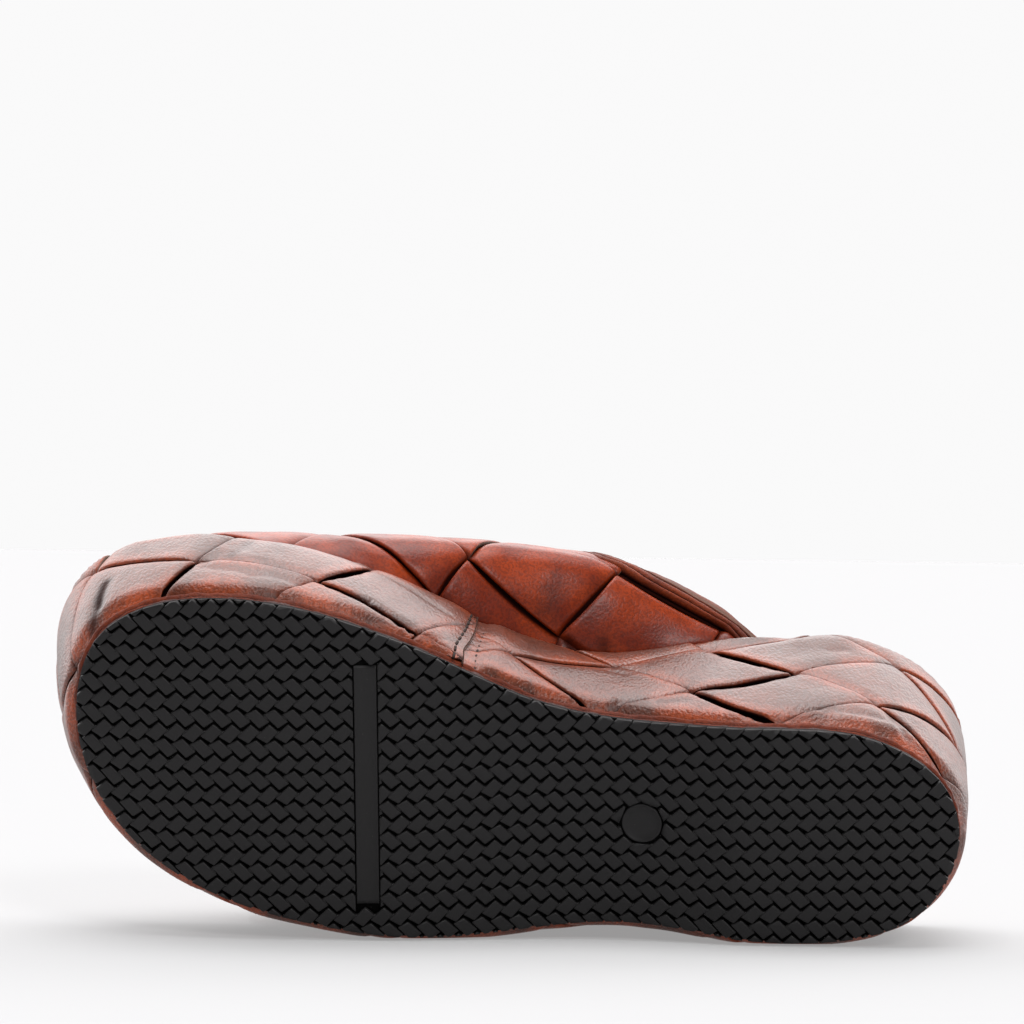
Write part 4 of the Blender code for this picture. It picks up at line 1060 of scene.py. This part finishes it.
def make_wedge_core():
    """Body of the wedge below the strips, closed, with the seat on top."""
    places = places_round(260)
    full = wall_height(places)
    rows = [wall_skin(places, 0.0, -0.3), wall_skin(places, 1.8, -0.4)]
    rows += [wall_skin(places, full * part, CORE_DEPTH) for part in np.linspace(0.08, 1.0, 9)]
    rows += [wall_skin(places, full + over, CORE_DEPTH) for over in (1.2, 2.4, 3.6, 4.8, 6.1)]
    foot = rim_point(places, RIM_WIDTH)
    rows.append(np.column_stack([foot[:, :2], seat(foot[:, 0])]))
    piece = Piece()
    piece.cap_ends(piece.grid(np.array(rows), wrap=True))
    piece.build("wedge_core", [CORE_LEATHER], "wedge")


# Section of the band along the foot of the wall. Columns: height, lift, darkening (painted shade, most
# where it turns under and in its hollow).
BAND_SECTION = ((0.1, -1.8, 0.8), (0.05, -0.75, 0.4), (0.3, -0.45, 0.2), (0.6, -0.25, 0.3),
                (0.75, -0.4, 0.95), (0.9, -0.15, 0.2), (1.3, 0.1, 0.0), (1.6, 0.2, 0.0),
                (1.9, 0.1, 0.3), (2.0, -0.4, 0.8), (1.9, -1.8, 0.9))
BAND_WRINKLE = {"depth": 0.16, "from": 0.25, "above": -0.7}    # up and down, from a height and a lift on


def make_bottom_band():
    """Turned-under band along the foot of the wall, lightly wrinkled."""
    places = places_round(620)
    rows = []
    for height, lift, _ in BAND_SECTION:
        base = wall_skin(places, height, 0.0)
        up = BAND_WRINKLE["depth"] * noise(base, 5.0, 23) if height > BAND_WRINKLE["from"] else 0.0
        wave = uneven("band", base) * (lift > BAND_WRINKLE["above"])
        rows.append(wall_skin(places, np.maximum(height + up, 0.02), lift + wave))
    piece = Piece()
    burnish = np.repeat([row[2] for row in BAND_SECTION], len(places))
    number = piece.grid(np.array(rows), wrap=True, burnish=burnish, tone=0.6)
    for k in range(len(places)):
        piece.face((number[0][k], number[0][k + 1], number[-1][k + 1], number[-1][k]))
    piece.build("wedge_band", [BAND_LEATHER], "wedge")


# ---------------- vamp
UNDER_BINDING = 2.4           # the strips run on this far below the bindings
BINDING_PRESS = 4.5           # length in which they are pressed down beside them
FOOT_REACH = 4.4              # and this far below the neck, behind the rim
SUNK_STRIPS = ((1, 2), (2, 2), (2, 3))     # strips pulled tight beside the topline
# Sunk strips are darkened: painted shade in the groove beside the topline.
SUNK = {"level": -0.75, "relief": 0.15, "burnish": 0.85}
DEEPEST = -1.05               # the strips stay this far above the lining
LINING_GRID = (121, 61)       # corners over the foot and from the rear edge to the front one


def make_vamp_weave():
    """The woven strips of the vamp, from binding to binding and down behind the rim."""
    piece = Piece()
    border = BINDING_WIDTH - UNDER_BINDING
    for number, cell in enumerate(lattice_cells(range(-8, 13), range(-14, 4))):
        is_first = (cell[0] + cell[1]) % 2 == 0
        along, girth, lift, burnish, raw, _ = strip_grid(vamp_lattice, SURFACE.point, "vamp", cell, is_first,
                                                         VAMP_CREVICES)
        shape, lift = lift.shape, lift.ravel()
        part = np.clip(girth / SURFACE.length(along), 0.0, 1.0)
        front, rear = vamp_front(part) - border, vamp_rear(part) + border
        low = SURFACE.neck(along) - FOOT_REACH
        inside = (along > rear) & (along < front) & (girth > low) & (girth < SURFACE.length(along) - low)
        keep = touching(inside.reshape(shape))
        if not keep.any():
            continue
        along = np.clip(along, rear, front)
        low = SURFACE.neck(along) - FOOT_REACH
        girth = np.clip(girth, low, SURFACE.length(along) - low)
        wave = uneven("vamp", SURFACE.plain(along, girth))
        fade = 0.15 + 0.85 * strip_fade(along, girth)
        under = ease(np.minimum(along - rear, front - along) / BINDING_PRESS)
        rise, mark = creased(along, girth, VAMP_CREASES)
        lifted = lift + (wave + rise) * np.clip(lift + 0.4, 0.0, 1.0)
        lifted = np.minimum(lifted, -0.2 + (lifted + 0.2) * (0.25 + 0.75 * under))
        burnish = np.maximum(burnish, mark)
        if cell in SUNK_STRIPS:
            lifted = SUNK["level"] + SUNK["relief"] * (lifted - 1.0)
            burnish = np.maximum(burnish, SUNK["burnish"])
        points = SURFACE.point(along, girth, np.maximum(lifted, DEEPEST) * fade)
        tone = 0.15 + 0.25 * scatter(number, 78.233, 12543.853)
        piece.grid(points.reshape(*shape, 3), keep, flip=is_first, burnish=burnish, tone=tone,
                   raw=raw * (cell in RAW_STRIPS["vamp"]))
    piece.build("vamp_weave", [VAMP_LEATHER], "vamp", closed=False)


def make_vamp_lining():
    """Closed shell below the strips: dark outside, smooth lining leather inside."""
    parts, rows = np.linspace(0.0, 1.0, LINING_GRID[0]), LINING_GRID[1]
    front, rear = vamp_front(parts) - 0.8, vamp_rear(parts) + 0.8
    along = (rear[:, None] + (front - rear)[:, None] * np.linspace(0.0, 1.0, rows)[None, :]).ravel()
    girth = np.repeat(parts, rows) * SURFACE.length(along)
    outer = SURFACE.point(along, girth, -0.25 - 0.85 * strip_fade(along, girth)).reshape(*LINING_GRID, 3)
    inner = SURFACE.point(along, girth, -VAMP_WALL).reshape(*LINING_GRID, 3)
    piece = Piece()
    out = piece.grid(outer, slot=0)
    inn = piece.grid(inner[:, ::-1], slot=1)[:, ::-1]
    borders = [(out[:, 0], inn[:, 0]), (inn[:, -1], out[:, -1]), (inn[0], out[0]), (out[-1], inn[-1])]
    for one, two in borders:
        for k in range(len(one) - 1):
            piece.face((one[k], one[k + 1], two[k + 1], two[k]), 1)
    piece.build("vamp_lining", [CORE_LEATHER, LINING], "vamp")


# Rolled edge of a binding. Columns: mm in from the edge, height, darkening (painted shade), raw edge.
BINDING_ROLL = ((1.6, -1.55, 0.1, 0), (0.5, -1.5, 0.2, 0), (0.05, -1.1, 0.3, 0), (-0.1, -0.5, 0.3, 0),
                (0.0, 0.3, 0.2, 0), (0.35, 0.9, 0.1, 0), (0.9, 1.15, 0.0, 0))
# Its facing. Columns: part of the way from where it starts to its inner edge, height, darkening (painted
# shade in the seam grooves and where it turns under), raw edge.
BINDING_FACE = {
    "topline": ((-0.3, 1.2, 0.3, 1), (0.0, 1.2, 0.3, 1), (0.03, 1.6, 0.1, 0.9), (0.10, 2.1, 0.1, 0.6),
                (0.15, 2.1, 0.2, 0.3), (0.19, 1.5, 1.0, 0), (0.25, 1.5, 1.0, 0), (0.30, 2.1, 0.2, 0),
                (0.40, 2.35, 0.0, 0), (0.56, 2.35, 0.0, 0), (0.64, 2.1, 0.1, 0), (0.67, 1.6, 0.95, 0),
                (0.72, 1.6, 0.95, 0), (0.76, 2.05, 0.1, 0), (0.86, 2.1, 0.0, 0), (0.94, 1.8, 0.0, 0),
                (0.98, 1.2, 0.2, 0), (1.0, 0.5, 0.6, 0), (0.98, -0.5, 1.0, 0), (0.8, -0.9, 1.0, 0)),
    "toe": ((0.02, 1.08, 0.3, 0), (0.06, 0.75, 1.0, 0), (0.09, 0.75, 1.0, 0), (0.13, 1.25, 0.35, 0),
            (0.22, 1.6, 0.0, 0), (0.4, 1.75, 0.0, 0), (0.6, 1.75, 0.0, 0), (0.8, 1.65, 0.0, 0),
            (0.93, 1.35, 0.1, 0), (1.0, 0.85, 0.3, 0), (1.0, 0.35, 0.6, 0), (0.97, -0.1, 0.9, 0),
            (0.75, -0.35, 1.0, 0)),
}
# Columns: part of the way over the foot, where the facing starts and ends (mm from the edge).
BINDING_LAY = {
    "topline": ((0.0, 1.8, 7.5), (0.05, 2.2, 7.5), (0.08, 3.6, 8.5), (0.117, 6.8, 14.5),
                (0.16, 12.4, 21.0), (0.20, 14.4, 23.5), (0.25, 10.8, 19.5), (0.33, 3.0, 11.0),
                (0.42, 1.8, 8.0), (1.0, 1.8, 8.0)),
    "toe": ((0.0, 1.2, 7.0), (1.0, 1.2, 7.0)),
}


def binding_rows(kind, part):
    """Distance from the edge, height, burnish and raw mark round one cut through a binding."""
    lay = np.array(BINDING_LAY[kind])
    start, end = (float(np.interp(part, lay[:, 0], lay[:, k])) for k in (1, 2))
    face = np.array(BINDING_FACE[kind], float)
    face[:, 0] = start + face[:, 0] * (end - start)
    return np.vstack([np.array(BINDING_ROLL, float), face])


def make_binding(name, edge, kind, replaced):
    """Folded strip over an edge of the vamp with a seam groove beside the rolled edge."""
    inwards = 1.0 if kind == "topline" else -1.0
    middle = float(edge(0.5)[0])
    foot = float(SURFACE.neck(middle) / SURFACE.length(middle))
    rows, marks = [], []
    for part in np.linspace(0.0, 1.0, 240):
        table = binding_rows(kind, part)
        start = float(edge(np.clip(part, foot, 1.0 - foot))[0])
        along = start + inwards * table[:, 0]
        length, neck = SURFACE.length(along), SURFACE.neck(along)
        share = np.clip((part - foot) / (1.0 - 2.0 * foot), 0.0, 1.0)
        girth = neck + share * (length - 2.0 * neck)
        girth = np.where(part < foot, part / foot * neck, girth)
        girth = np.where(part > 1.0 - foot, length - (1.0 - part) / foot * neck, girth)
        height = np.where(table[:, 1] > 0.0, table[:, 1] * strip_fade(along, girth), table[:, 1])
        wave = uneven("binding", SURFACE.plain(along, girth))
        rows.append(SURFACE.point(along, girth, height + wave * (height > 0.0)))
        marks.append(table[:, 2:4])
    points, marks = np.array(rows), np.array(marks)
    if kind == "toe":
        points, marks = points[:, ::-1], marks[:, ::-1]
    piece = Piece()
    number = piece.grid(points, wrap=True, burnish=marks[:, :, 0], tone=0.35, raw=marks[:, :, 1])
    piece.face(number[0][:-1][::-1])
    piece.face(number[-1][:-1])
    piece.build(name, [BAND_LEATHER], replaced)


# ---------------- insole
# Section of the pad from its foot to its middle. Columns: mm in from its side, rise, darkening (painted
# shade at its foot and in its groove).
INSOLE_SECTION = ((0.0, 0.0, 0.8), (0.0, 2.4, 0.6), (0.25, 3.4, 0.3), (0.8, 4.0, 0.15), (1.6, 4.2, 0.0),
                  (3.0, 4.2, 0.0), (3.4, 4.0, 0.5), (3.8, 4.2, 0.0), (6.0, 4.2, 0.0), (9.0, 4.15, 0.0),
                  (13.0, 4.05, 0.05), (17.0, 3.95, 0.1))


def make_insole():
    """Footbed pad inside the rim, drawn in beside the vamp, with a soft crown."""
    places = places_round(300)
    line = rim_point(places, RIM_WIDTH)
    middle = np.interp(line[:, 0], MIDLINE["along"], MIDLINE["across"])
    part = np.where(line[:, 1] > middle, 0.0, 1.0)
    behind = vamp_rear(part) - INSOLE_EASE / 2.0 - line[:, 0]
    before = line[:, 0] - vamp_front(part) - INSOLE_EASE / 2.0
    beside = ease(1.0 - behind / INSOLE_EASE) * ease(1.0 - before / INSOLE_EASE)
    inset = RIM_WIDTH + GAP + beside * (2.0 * VAMP_STAND - GAP + VAMP_WALL)
    rows = []
    for inward, rise, _ in INSOLE_SECTION:
        edge = rim_point(places, inset + inward)
        rows.append(np.column_stack([edge[:, :2], seat(edge[:, 0]) + GAP + rise]))
    piece = Piece()
    burnish = np.repeat([row[2] for row in INSOLE_SECTION], len(places))
    piece.cap_ends(piece.grid(np.array(rows), wrap=True, burnish=burnish, tone=0.2))
    piece.build("insole_pad", [LINING], "insole")


# ---------------- tread
TREAD_PITCH = {"along": 5.187, "across": 8.797}
# The two kinds of lozenge: their corners from the inner one on (along, across), and where that is in one.
LOZENGES = (
    (((0.0, 0.20), (3.02, -1.28), (-0.92, -5.34), (-3.84, -3.38)), (-67.44, -10.31)),
    (((0.05, 0.32), (3.96, -3.22), (0.74, -5.22), (-2.52, -1.82)), (-65.99, -14.74)),
)
# Sloping webs that join the lozenges of a row: corners (along, across) and height as part of the tread.
WEBS = (
    ((-1.95, -1.75, 0.98), (-2.30, -1.20, 0.80), (-3.75, -2.70, 0.84), (-3.35, -3.05, 0.98)),
    ((2.20, -1.70, 0.98), (2.80, -1.66, 0.80), (3.90, -2.85, 0.84), (3.40, -2.85, 0.98)),
)
# Rings of a lozenge: inset, and height above the groove as part of the tread.
LOZENGE_RINGS = ((1.3, 1.0), (0.5, 0.995), (0.15, 0.95), (0.0, 0.82), (-0.05, -0.06))
WEB_FOOT = -0.0625            # foot of the webs, sunk in the groove's floor, as part of the tread
LOZENGE_CUT = 0.22            # each corner of a lozenge is cut off this far along its sides
TREAD_DEPTH = 1.6
TREAD_ROWS, TREAD_STEPS = range(-8, 12), range(-14, 42)
# Distance in from the outsole's edge at which a lozenge is left out, is whole, and has its web.
TREAD_EDGE = {"out": -2.6, "whole": 4.0, "web": 3.0, "clear": 0.05}
TREAD_BAND = {"along": (39.0, 45.4), "across": (-39.7, 28.4)}
TREAD_DISC = {"along": -34.7, "across": -19.4, "radius": 5.6}
PLAIN_CLEAR = 0.3             # groove between the lozenges and the plain band and disc
# A lozenge is cut if its middle lies this close to the band's sides, ends and corners or to the disc.
PLAIN_NEAR = {"side": 3.4, "end": 3.0, "corner": 2.0, "slack": 0.2, "disc": 3.4}
# Sections of the plain band and disc from their borders in. Columns: inset, height above the groove.
BAND_BORDER = ((0.0, -0.1), (0.0, 0.95), (0.15, 1.06), (0.45, 1.06), (0.6, 0.9), (3.2, 0.9))
DISC_BORDER = ((0.0, -0.1), (0.0, 0.9), (0.15, 1.05), (0.5, 1.05), (0.65, 0.9), (3.1, 0.9))
# Side of the slab above the tread. Columns: inset, height above the ground.
SLAB_SIDE = ((0.15, TREAD_DEPTH), (0.0, TREAD_DEPTH + 0.12), (0.0, SOLE_THICK - 0.1), (0.1, SOLE_THICK))


def lozenge(corners):
    """Rings of corners about the middle: each corner is cut off once."""
    corners = np.array(corners)
    cut = []
    for k in range(4):
        here, before, after = corners[k], corners[k - 1], corners[(k + 1) % 4]
        for other in (before, after):
            way = other - here
            cut.append(here + way / np.linalg.norm(way) * LOZENGE_CUT)
    return np.array(cut)


def inset_ring(ring, inset):
    """A convex ring moved in by a distance towards its middle."""
    middle = ring.mean(axis=0)
    away = ring - middle
    size = np.linalg.norm(away, axis=1)[:, None]
    return middle + away * (1.0 - inset / size)


def make_tread():
    """Lozenges in rows all over the outsole, cut off at its edge and beside the plain band and disc."""
    places = places_round(720)
    edge, out = outline_point(places), outward(places)
    piece = Piece()
    for (corners, start), web in zip(LOZENGES, WEBS):
        centre = np.mean(corners, axis=0)
        ring = lozenge(np.array(corners) - centre)
        web = np.array(web) - (*centre, 0.0)
        start = start + centre
        for row, step in itertools.product(TREAD_ROWS, TREAD_STEPS):
            middle = start + np.array([step * TREAD_PITCH["along"], row * TREAD_PITCH["across"]])
            near = int(np.argmin(np.linalg.norm(edge - middle, axis=1)))
            depth = float((edge[near] - middle) @ out[near])
            if depth < TREAD_EDGE["out"]:
                continue
            planes = tread_cuts(middle)
            if depth < TREAD_EDGE["whole"]:
                planes.insert(0, (edge[near] - out[near] * TREAD_EDGE["clear"], out[near]))
            add_lozenge(piece, middle, ring, web if depth > TREAD_EDGE["web"] else None, planes)
    piece.build("tread_lozenges", [RUBBER], "outsole")


def tread_cuts(middle):
    """Cuts that keep a lozenge clear of the plain band and the plain disc: a point and the way cut off."""
    cuts = []
    along, across = middle
    low, high = TREAD_BAND["along"]
    near_side, far_side = TREAD_BAND["across"]
    side, end, corner, slack = (PLAIN_NEAR[name] for name in ("side", "end", "corner", "slack"))
    if near_side - slack < across < far_side + slack and low - side < along < high + side:
        if along > (low + high) / 2.0:
            cuts.append(((high + PLAIN_CLEAR, 0.0), (-1.0, 0.0)))
        else:
            cuts.append(((low - PLAIN_CLEAR, 0.0), (1.0, 0.0)))
    elif low - corner < along < high + corner and far_side <= across < far_side + end:
        cuts.append(((0.0, far_side + PLAIN_CLEAR), (0.0, -1.0)))
    elif low - corner < along < high + corner and near_side - end < across <= near_side:
        cuts.append(((0.0, near_side - PLAIN_CLEAR), (0.0, 1.0)))
    disc = np.array([TREAD_DISC["along"], TREAD_DISC["across"]])
    away = middle - disc
    size = float(np.linalg.norm(away))
    if size < TREAD_DISC["radius"] + PLAIN_NEAR["disc"]:
        away /= max(size, 1e-6)
        cuts.append((disc + away * (TREAD_DISC["radius"] + PLAIN_CLEAR), -away))
    return cuts


def add_lozenge(piece, middle, ring, web, planes):
    """One lozenge of the tread with its web, cut by upright planes."""
    work = bmesh.new()

    def corner(point, part):
        return work.verts.new((*(point + middle), TREAD_DEPTH * part))

    rings = [[corner(point, part) for point in inset_ring(ring, inset)] for inset, part in LOZENGE_RINGS]
    top = corner(np.zeros(2), 1.0)
    for k in range(len(ring)):
        n = (k + 1) % len(ring)
        work.faces.new((top, rings[0][k], rings[0][n]))
        for one, two in zip(rings, rings[1:]):
            work.faces.new((one[k], two[k], two[n], one[n]))
    work.faces.new(rings[-1])
    if web is not None:
        high = [corner(row[:2], row[2]) for row in web]
        low = [corner(row[:2], WEB_FOOT) for row in web]
        for k in range(4):
            n = (k + 1) % 4
            work.faces.new((high[k], high[n], low[n], low[k]))
        work.faces.new(high[:3])
        work.faces.new((high[0], *high[2:]))
        work.faces.new(low)
    for point, way in planes:
        if not work.verts:
            break
        cut = bmesh.ops.bisect_plane(work, geom=work.verts[:] + work.edges[:] + work.faces[:],
                                     plane_co=(*point, 0.0), plane_no=(*way, 0.0), clear_outer=True)
        sides = [item for item in cut["geom_cut"] if isinstance(item, bmesh.types.BMEdge)]
        if sides:
            bmesh.ops.contextual_create(work, geom=sides)
    if len(work.verts) > 3:
        bmesh.ops.recalc_face_normals(work, faces=work.faces)
        work.verts.index_update()
        points = np.array([corner.co for corner in work.verts])
        points[:, 2] = ground(points[:, 0]) + TREAD_DEPTH - points[:, 2]
        first = piece.add(points)
        for face in work.faces:
            piece.face([first + corner.index for corner in face.verts][::-1])
    work.free()


def make_sole_slab():
    """Rubber slab above the tread."""
    places = places_round(480)
    edge, out = outline_point(places), outward(places)
    low = ground(edge[:, 0])
    piece = Piece()
    rows = [np.column_stack([edge - out * inset, low + rise]) for inset, rise in SLAB_SIDE]
    # The slab's side and its caps, the groove floor among them, take the shaded copies of the rubber:
    # painted shade.
    piece.cap_ends(piece.grid(np.array(rows), wrap=True, slot=1))
    piece.build("sole_slab", [GROOVE_SHADE_RUBBER, RIM_SHADE_RUBBER], "outsole")


def make_plain_tread():
    """The plain band and the plain disc that stand between the lozenges."""
    piece = Piece()

    def row(along, across, rise):
        return np.column_stack([along, across, ground(along) + TREAD_DEPTH - rise])

    low, high = TREAD_BAND["along"]
    across = np.linspace(*TREAD_BAND["across"], 60)
    section = BAND_BORDER + tuple((high - low - inset, rise) for inset, rise in BAND_BORDER[-2::-1])
    rows = [row(np.full(len(across), low + inset), across, rise) for inset, rise in section]
    number = piece.grid(np.array(rows))
    piece.face(number[:, 0])
    piece.face(number[:, -1][::-1])
    piece.face([number[0][0], number[0][-1], number[-1][-1], number[-1][0]])
    cosines, sines = circle(64)
    rows = []
    for inset, rise in DISC_BORDER:
        radius = TREAD_DISC["radius"] - inset
        rows.append(row(TREAD_DISC["along"] + radius * cosines, TREAD_DISC["across"] + radius * sines, rise))
    number = piece.grid(np.array(rows), wrap=True)
    piece.face(number[-1][:-1])
    piece.face(number[0][:-1][::-1])
    piece.build("tread_plain", [RUBBER], "outsole")


# ---------------- stage
CAMERA = {"lean": 10.0, "roll": -0.4, "offset": (1.667, 1000.0, -70.28), "focal": 3600.0, "frame": 1024.0}
SENSOR = 36.0


def make_camera():
    """Camera that looks at the sole from just above the side the shoe lies on."""
    lean, roll = math.radians(CAMERA["lean"]), math.radians(CAMERA["roll"])
    tip = np.array([[1.0, 0.0, 0.0], [0.0, math.cos(lean), -math.sin(lean)],
                    [0.0, math.sin(lean), math.cos(lean)]])
    bank = np.array([[math.cos(roll), 0.0, math.sin(roll)], [0.0, 1.0, 0.0],
                     [-math.sin(roll), 0.0, math.cos(roll)]])
    laid = np.column_stack([(-1.0, 0.0, 0.0), (0.0, 0.0, 1.0), (0.0, 1.0, 0.0)])
    seen = tip @ bank @ laid
    place = ORIGIN + TURN @ (seen.T @ -np.array(CAMERA["offset"])) * MM
    right, away, up = (TURN @ seen.T).T
    data = bpy.data.cameras.new("camera")
    data.sensor_width = SENSOR
    data.lens = CAMERA["focal"] / CAMERA["frame"] * SENSOR
    data.clip_start, data.clip_end = 0.05, 100.0
    camera = bpy.data.objects.new("camera", data)
    bpy.context.scene.collection.objects.link(camera)
    turn = Matrix(np.column_stack([right, up, -away]).tolist()).to_4x4()
    camera.matrix_world = Matrix.Translation(Vector(place.tolist())) @ turn
    bpy.context.scene.camera = camera


FLOOR = {"radius": 24.0, "shade": (0.268, 0.266, 0.269, 1.0)}
FLOOR_GLOW = {"shade": (1.0, 0.997, 1.0, 1.0), "strength": 0.305}     # glow painted into the floor: painted light that softens the shadows in front


def make_floor():
    """Pale floor on which the shoe lies."""
    mesh = bpy.data.meshes.new("floor")
    ring = [(FLOOR["radius"] * x, FLOOR["radius"] * y, 0.0) for x, y in zip(*circle(96))]
    mesh.from_pydata(ring, [], [tuple(range(len(ring)))])
    look = Look("pale_floor")
    # The floor's emission is painted light that lifts its shadows.
    mesh.materials.append(look.set(Base_Color=FLOOR["shade"], Roughness=0.95, Specular_IOR_Level=0.0,
                                   Emission_Color=FLOOR_GLOW["shade"],
                                   Emission_Strength=FLOOR_GLOW["strength"]))
    floor = bpy.data.objects.new("floor", mesh)
    bpy.context.scene.collection.objects.link(floor)


# Radiance of the studio's backdrop in front of and behind the shoe and overhead, and where it turns.
SKY = {"front": 0.11, "back": 0.955, "turn": (-0.5, 0.4), "overhead": 0.42, "rise": (0.17, 0.4)}
# Lamps added to it, each a product of ramps over the direction looked in.
# Columns: axis, where the ramp starts and ends on it, and its values there.
LOW_WING = (("Z", 0.30, 0.42, 1.0, 0.0), ("Y", 0.0, 0.3, 0.0, 1.0))
LAMPS = {
    "softbox": (("Z", 0.19, 0.42, 0.0, 3.0), ("Z", 0.78, 0.9, 1.0, 0.0), ("X", -0.98, -0.74, 0.0, 1.0),
                ("X", 0.60, 0.88, 1.0, 0.0), ("Y", 0.0, 0.2, 0.0, 1.0)),
    "right_wing": (("X", 0.40, 0.60, 0.0, 1.7), *LOW_WING),
    "left_wing": (("X", -0.60, -0.40, 1.7, 0.0), *LOW_WING),
    "zenith": (("Z", 0.88, 0.95, 0.0, 6.5),),
}
STUDIO_SHADE = (1.0, 0.998, 1.0, 1.0)
KEY = {"strength": 1.1, "elevation": 33.0, "side": -20.0, "angle": 12.0}


def make_light():
    """Plain studio: pale backdrop, softbox and wings round it, and a soft key light from the front."""
    scene = bpy.context.scene
    world = bpy.data.worlds.new("studio")
    scene.world = world
    world.use_nodes = True
    tree = world.node_tree
    ways = tree.nodes.new("ShaderNodeTexCoord").outputs["Generated"]
    split = tree.nodes.new("ShaderNodeSeparateXYZ")
    tree.links.new(ways, split.inputs[0])

    def ramp(axis, *numbers):
        made = tree.nodes.new("ShaderNodeMapRange")
        made.interpolation_type = "SMOOTHSTEP"
        tree.links.new(split.outputs[axis], made.inputs["Value"])
        for socket, number in zip(("From Min", "From Max", "To Min", "To Max"), numbers):
            made.inputs[socket].default_value = number
        return made.outputs["Result"]

    def combine(operation, one, two):
        made = tree.nodes.new("ShaderNodeMath")
        made.operation = operation
        for socket, value in zip(made.inputs, (one, two)):
            tree.links.new(value, socket)
        return made.outputs[0]

    blend = tree.nodes.new("ShaderNodeMix")
    tree.links.new(ramp("Z", *SKY["rise"], 0.0, 1.0), blend.inputs[0])
    tree.links.new(ramp("Y", *SKY["turn"], SKY["front"], SKY["back"]), blend.inputs[2])
    blend.inputs[3].default_value = SKY["overhead"]
    total = blend.outputs[0]
    for ramps in LAMPS.values():
        lamp = functools.reduce(functools.partial(combine, "MULTIPLY"), [ramp(*row) for row in ramps])
        total = combine("ADD", total, lamp)
    tree.links.new(total, tree.nodes["Background"].inputs["Strength"])
    tree.nodes["Background"].inputs["Color"].default_value = STUDIO_SHADE
    data = bpy.data.lights.new("key", "SUN")
    data.energy = KEY["strength"]
    data.angle = math.radians(KEY["angle"])
    key = bpy.data.objects.new("key", data)
    scene.collection.objects.link(key)
    rise, side = math.radians(KEY["elevation"]), math.radians(KEY["side"])
    way = Vector((-math.sin(side) * math.cos(rise), -math.cos(side) * math.cos(rise), math.sin(rise)))
    key.location = way
    key.rotation_mode = "QUATERNION"
    key.rotation_quaternion = (-way).to_track_quat("-Z", "Y")
    scene.view_settings.view_transform = "Standard"


def main():
    make_camera()
    make_wedge_core()
    make_wall_weave()
    make_join()
    make_bottom_band()
    make_vamp_lining()
    make_vamp_weave()
    make_binding("topline_fold", vamp_rear, "topline", "topline_binding")
    make_binding("toe_fold", vamp_front, "toe", "toe_binding")
    make_insole()
    make_sole_slab()
    make_plain_tread()
    make_tread()
    make_floor()
    make_light()


main()
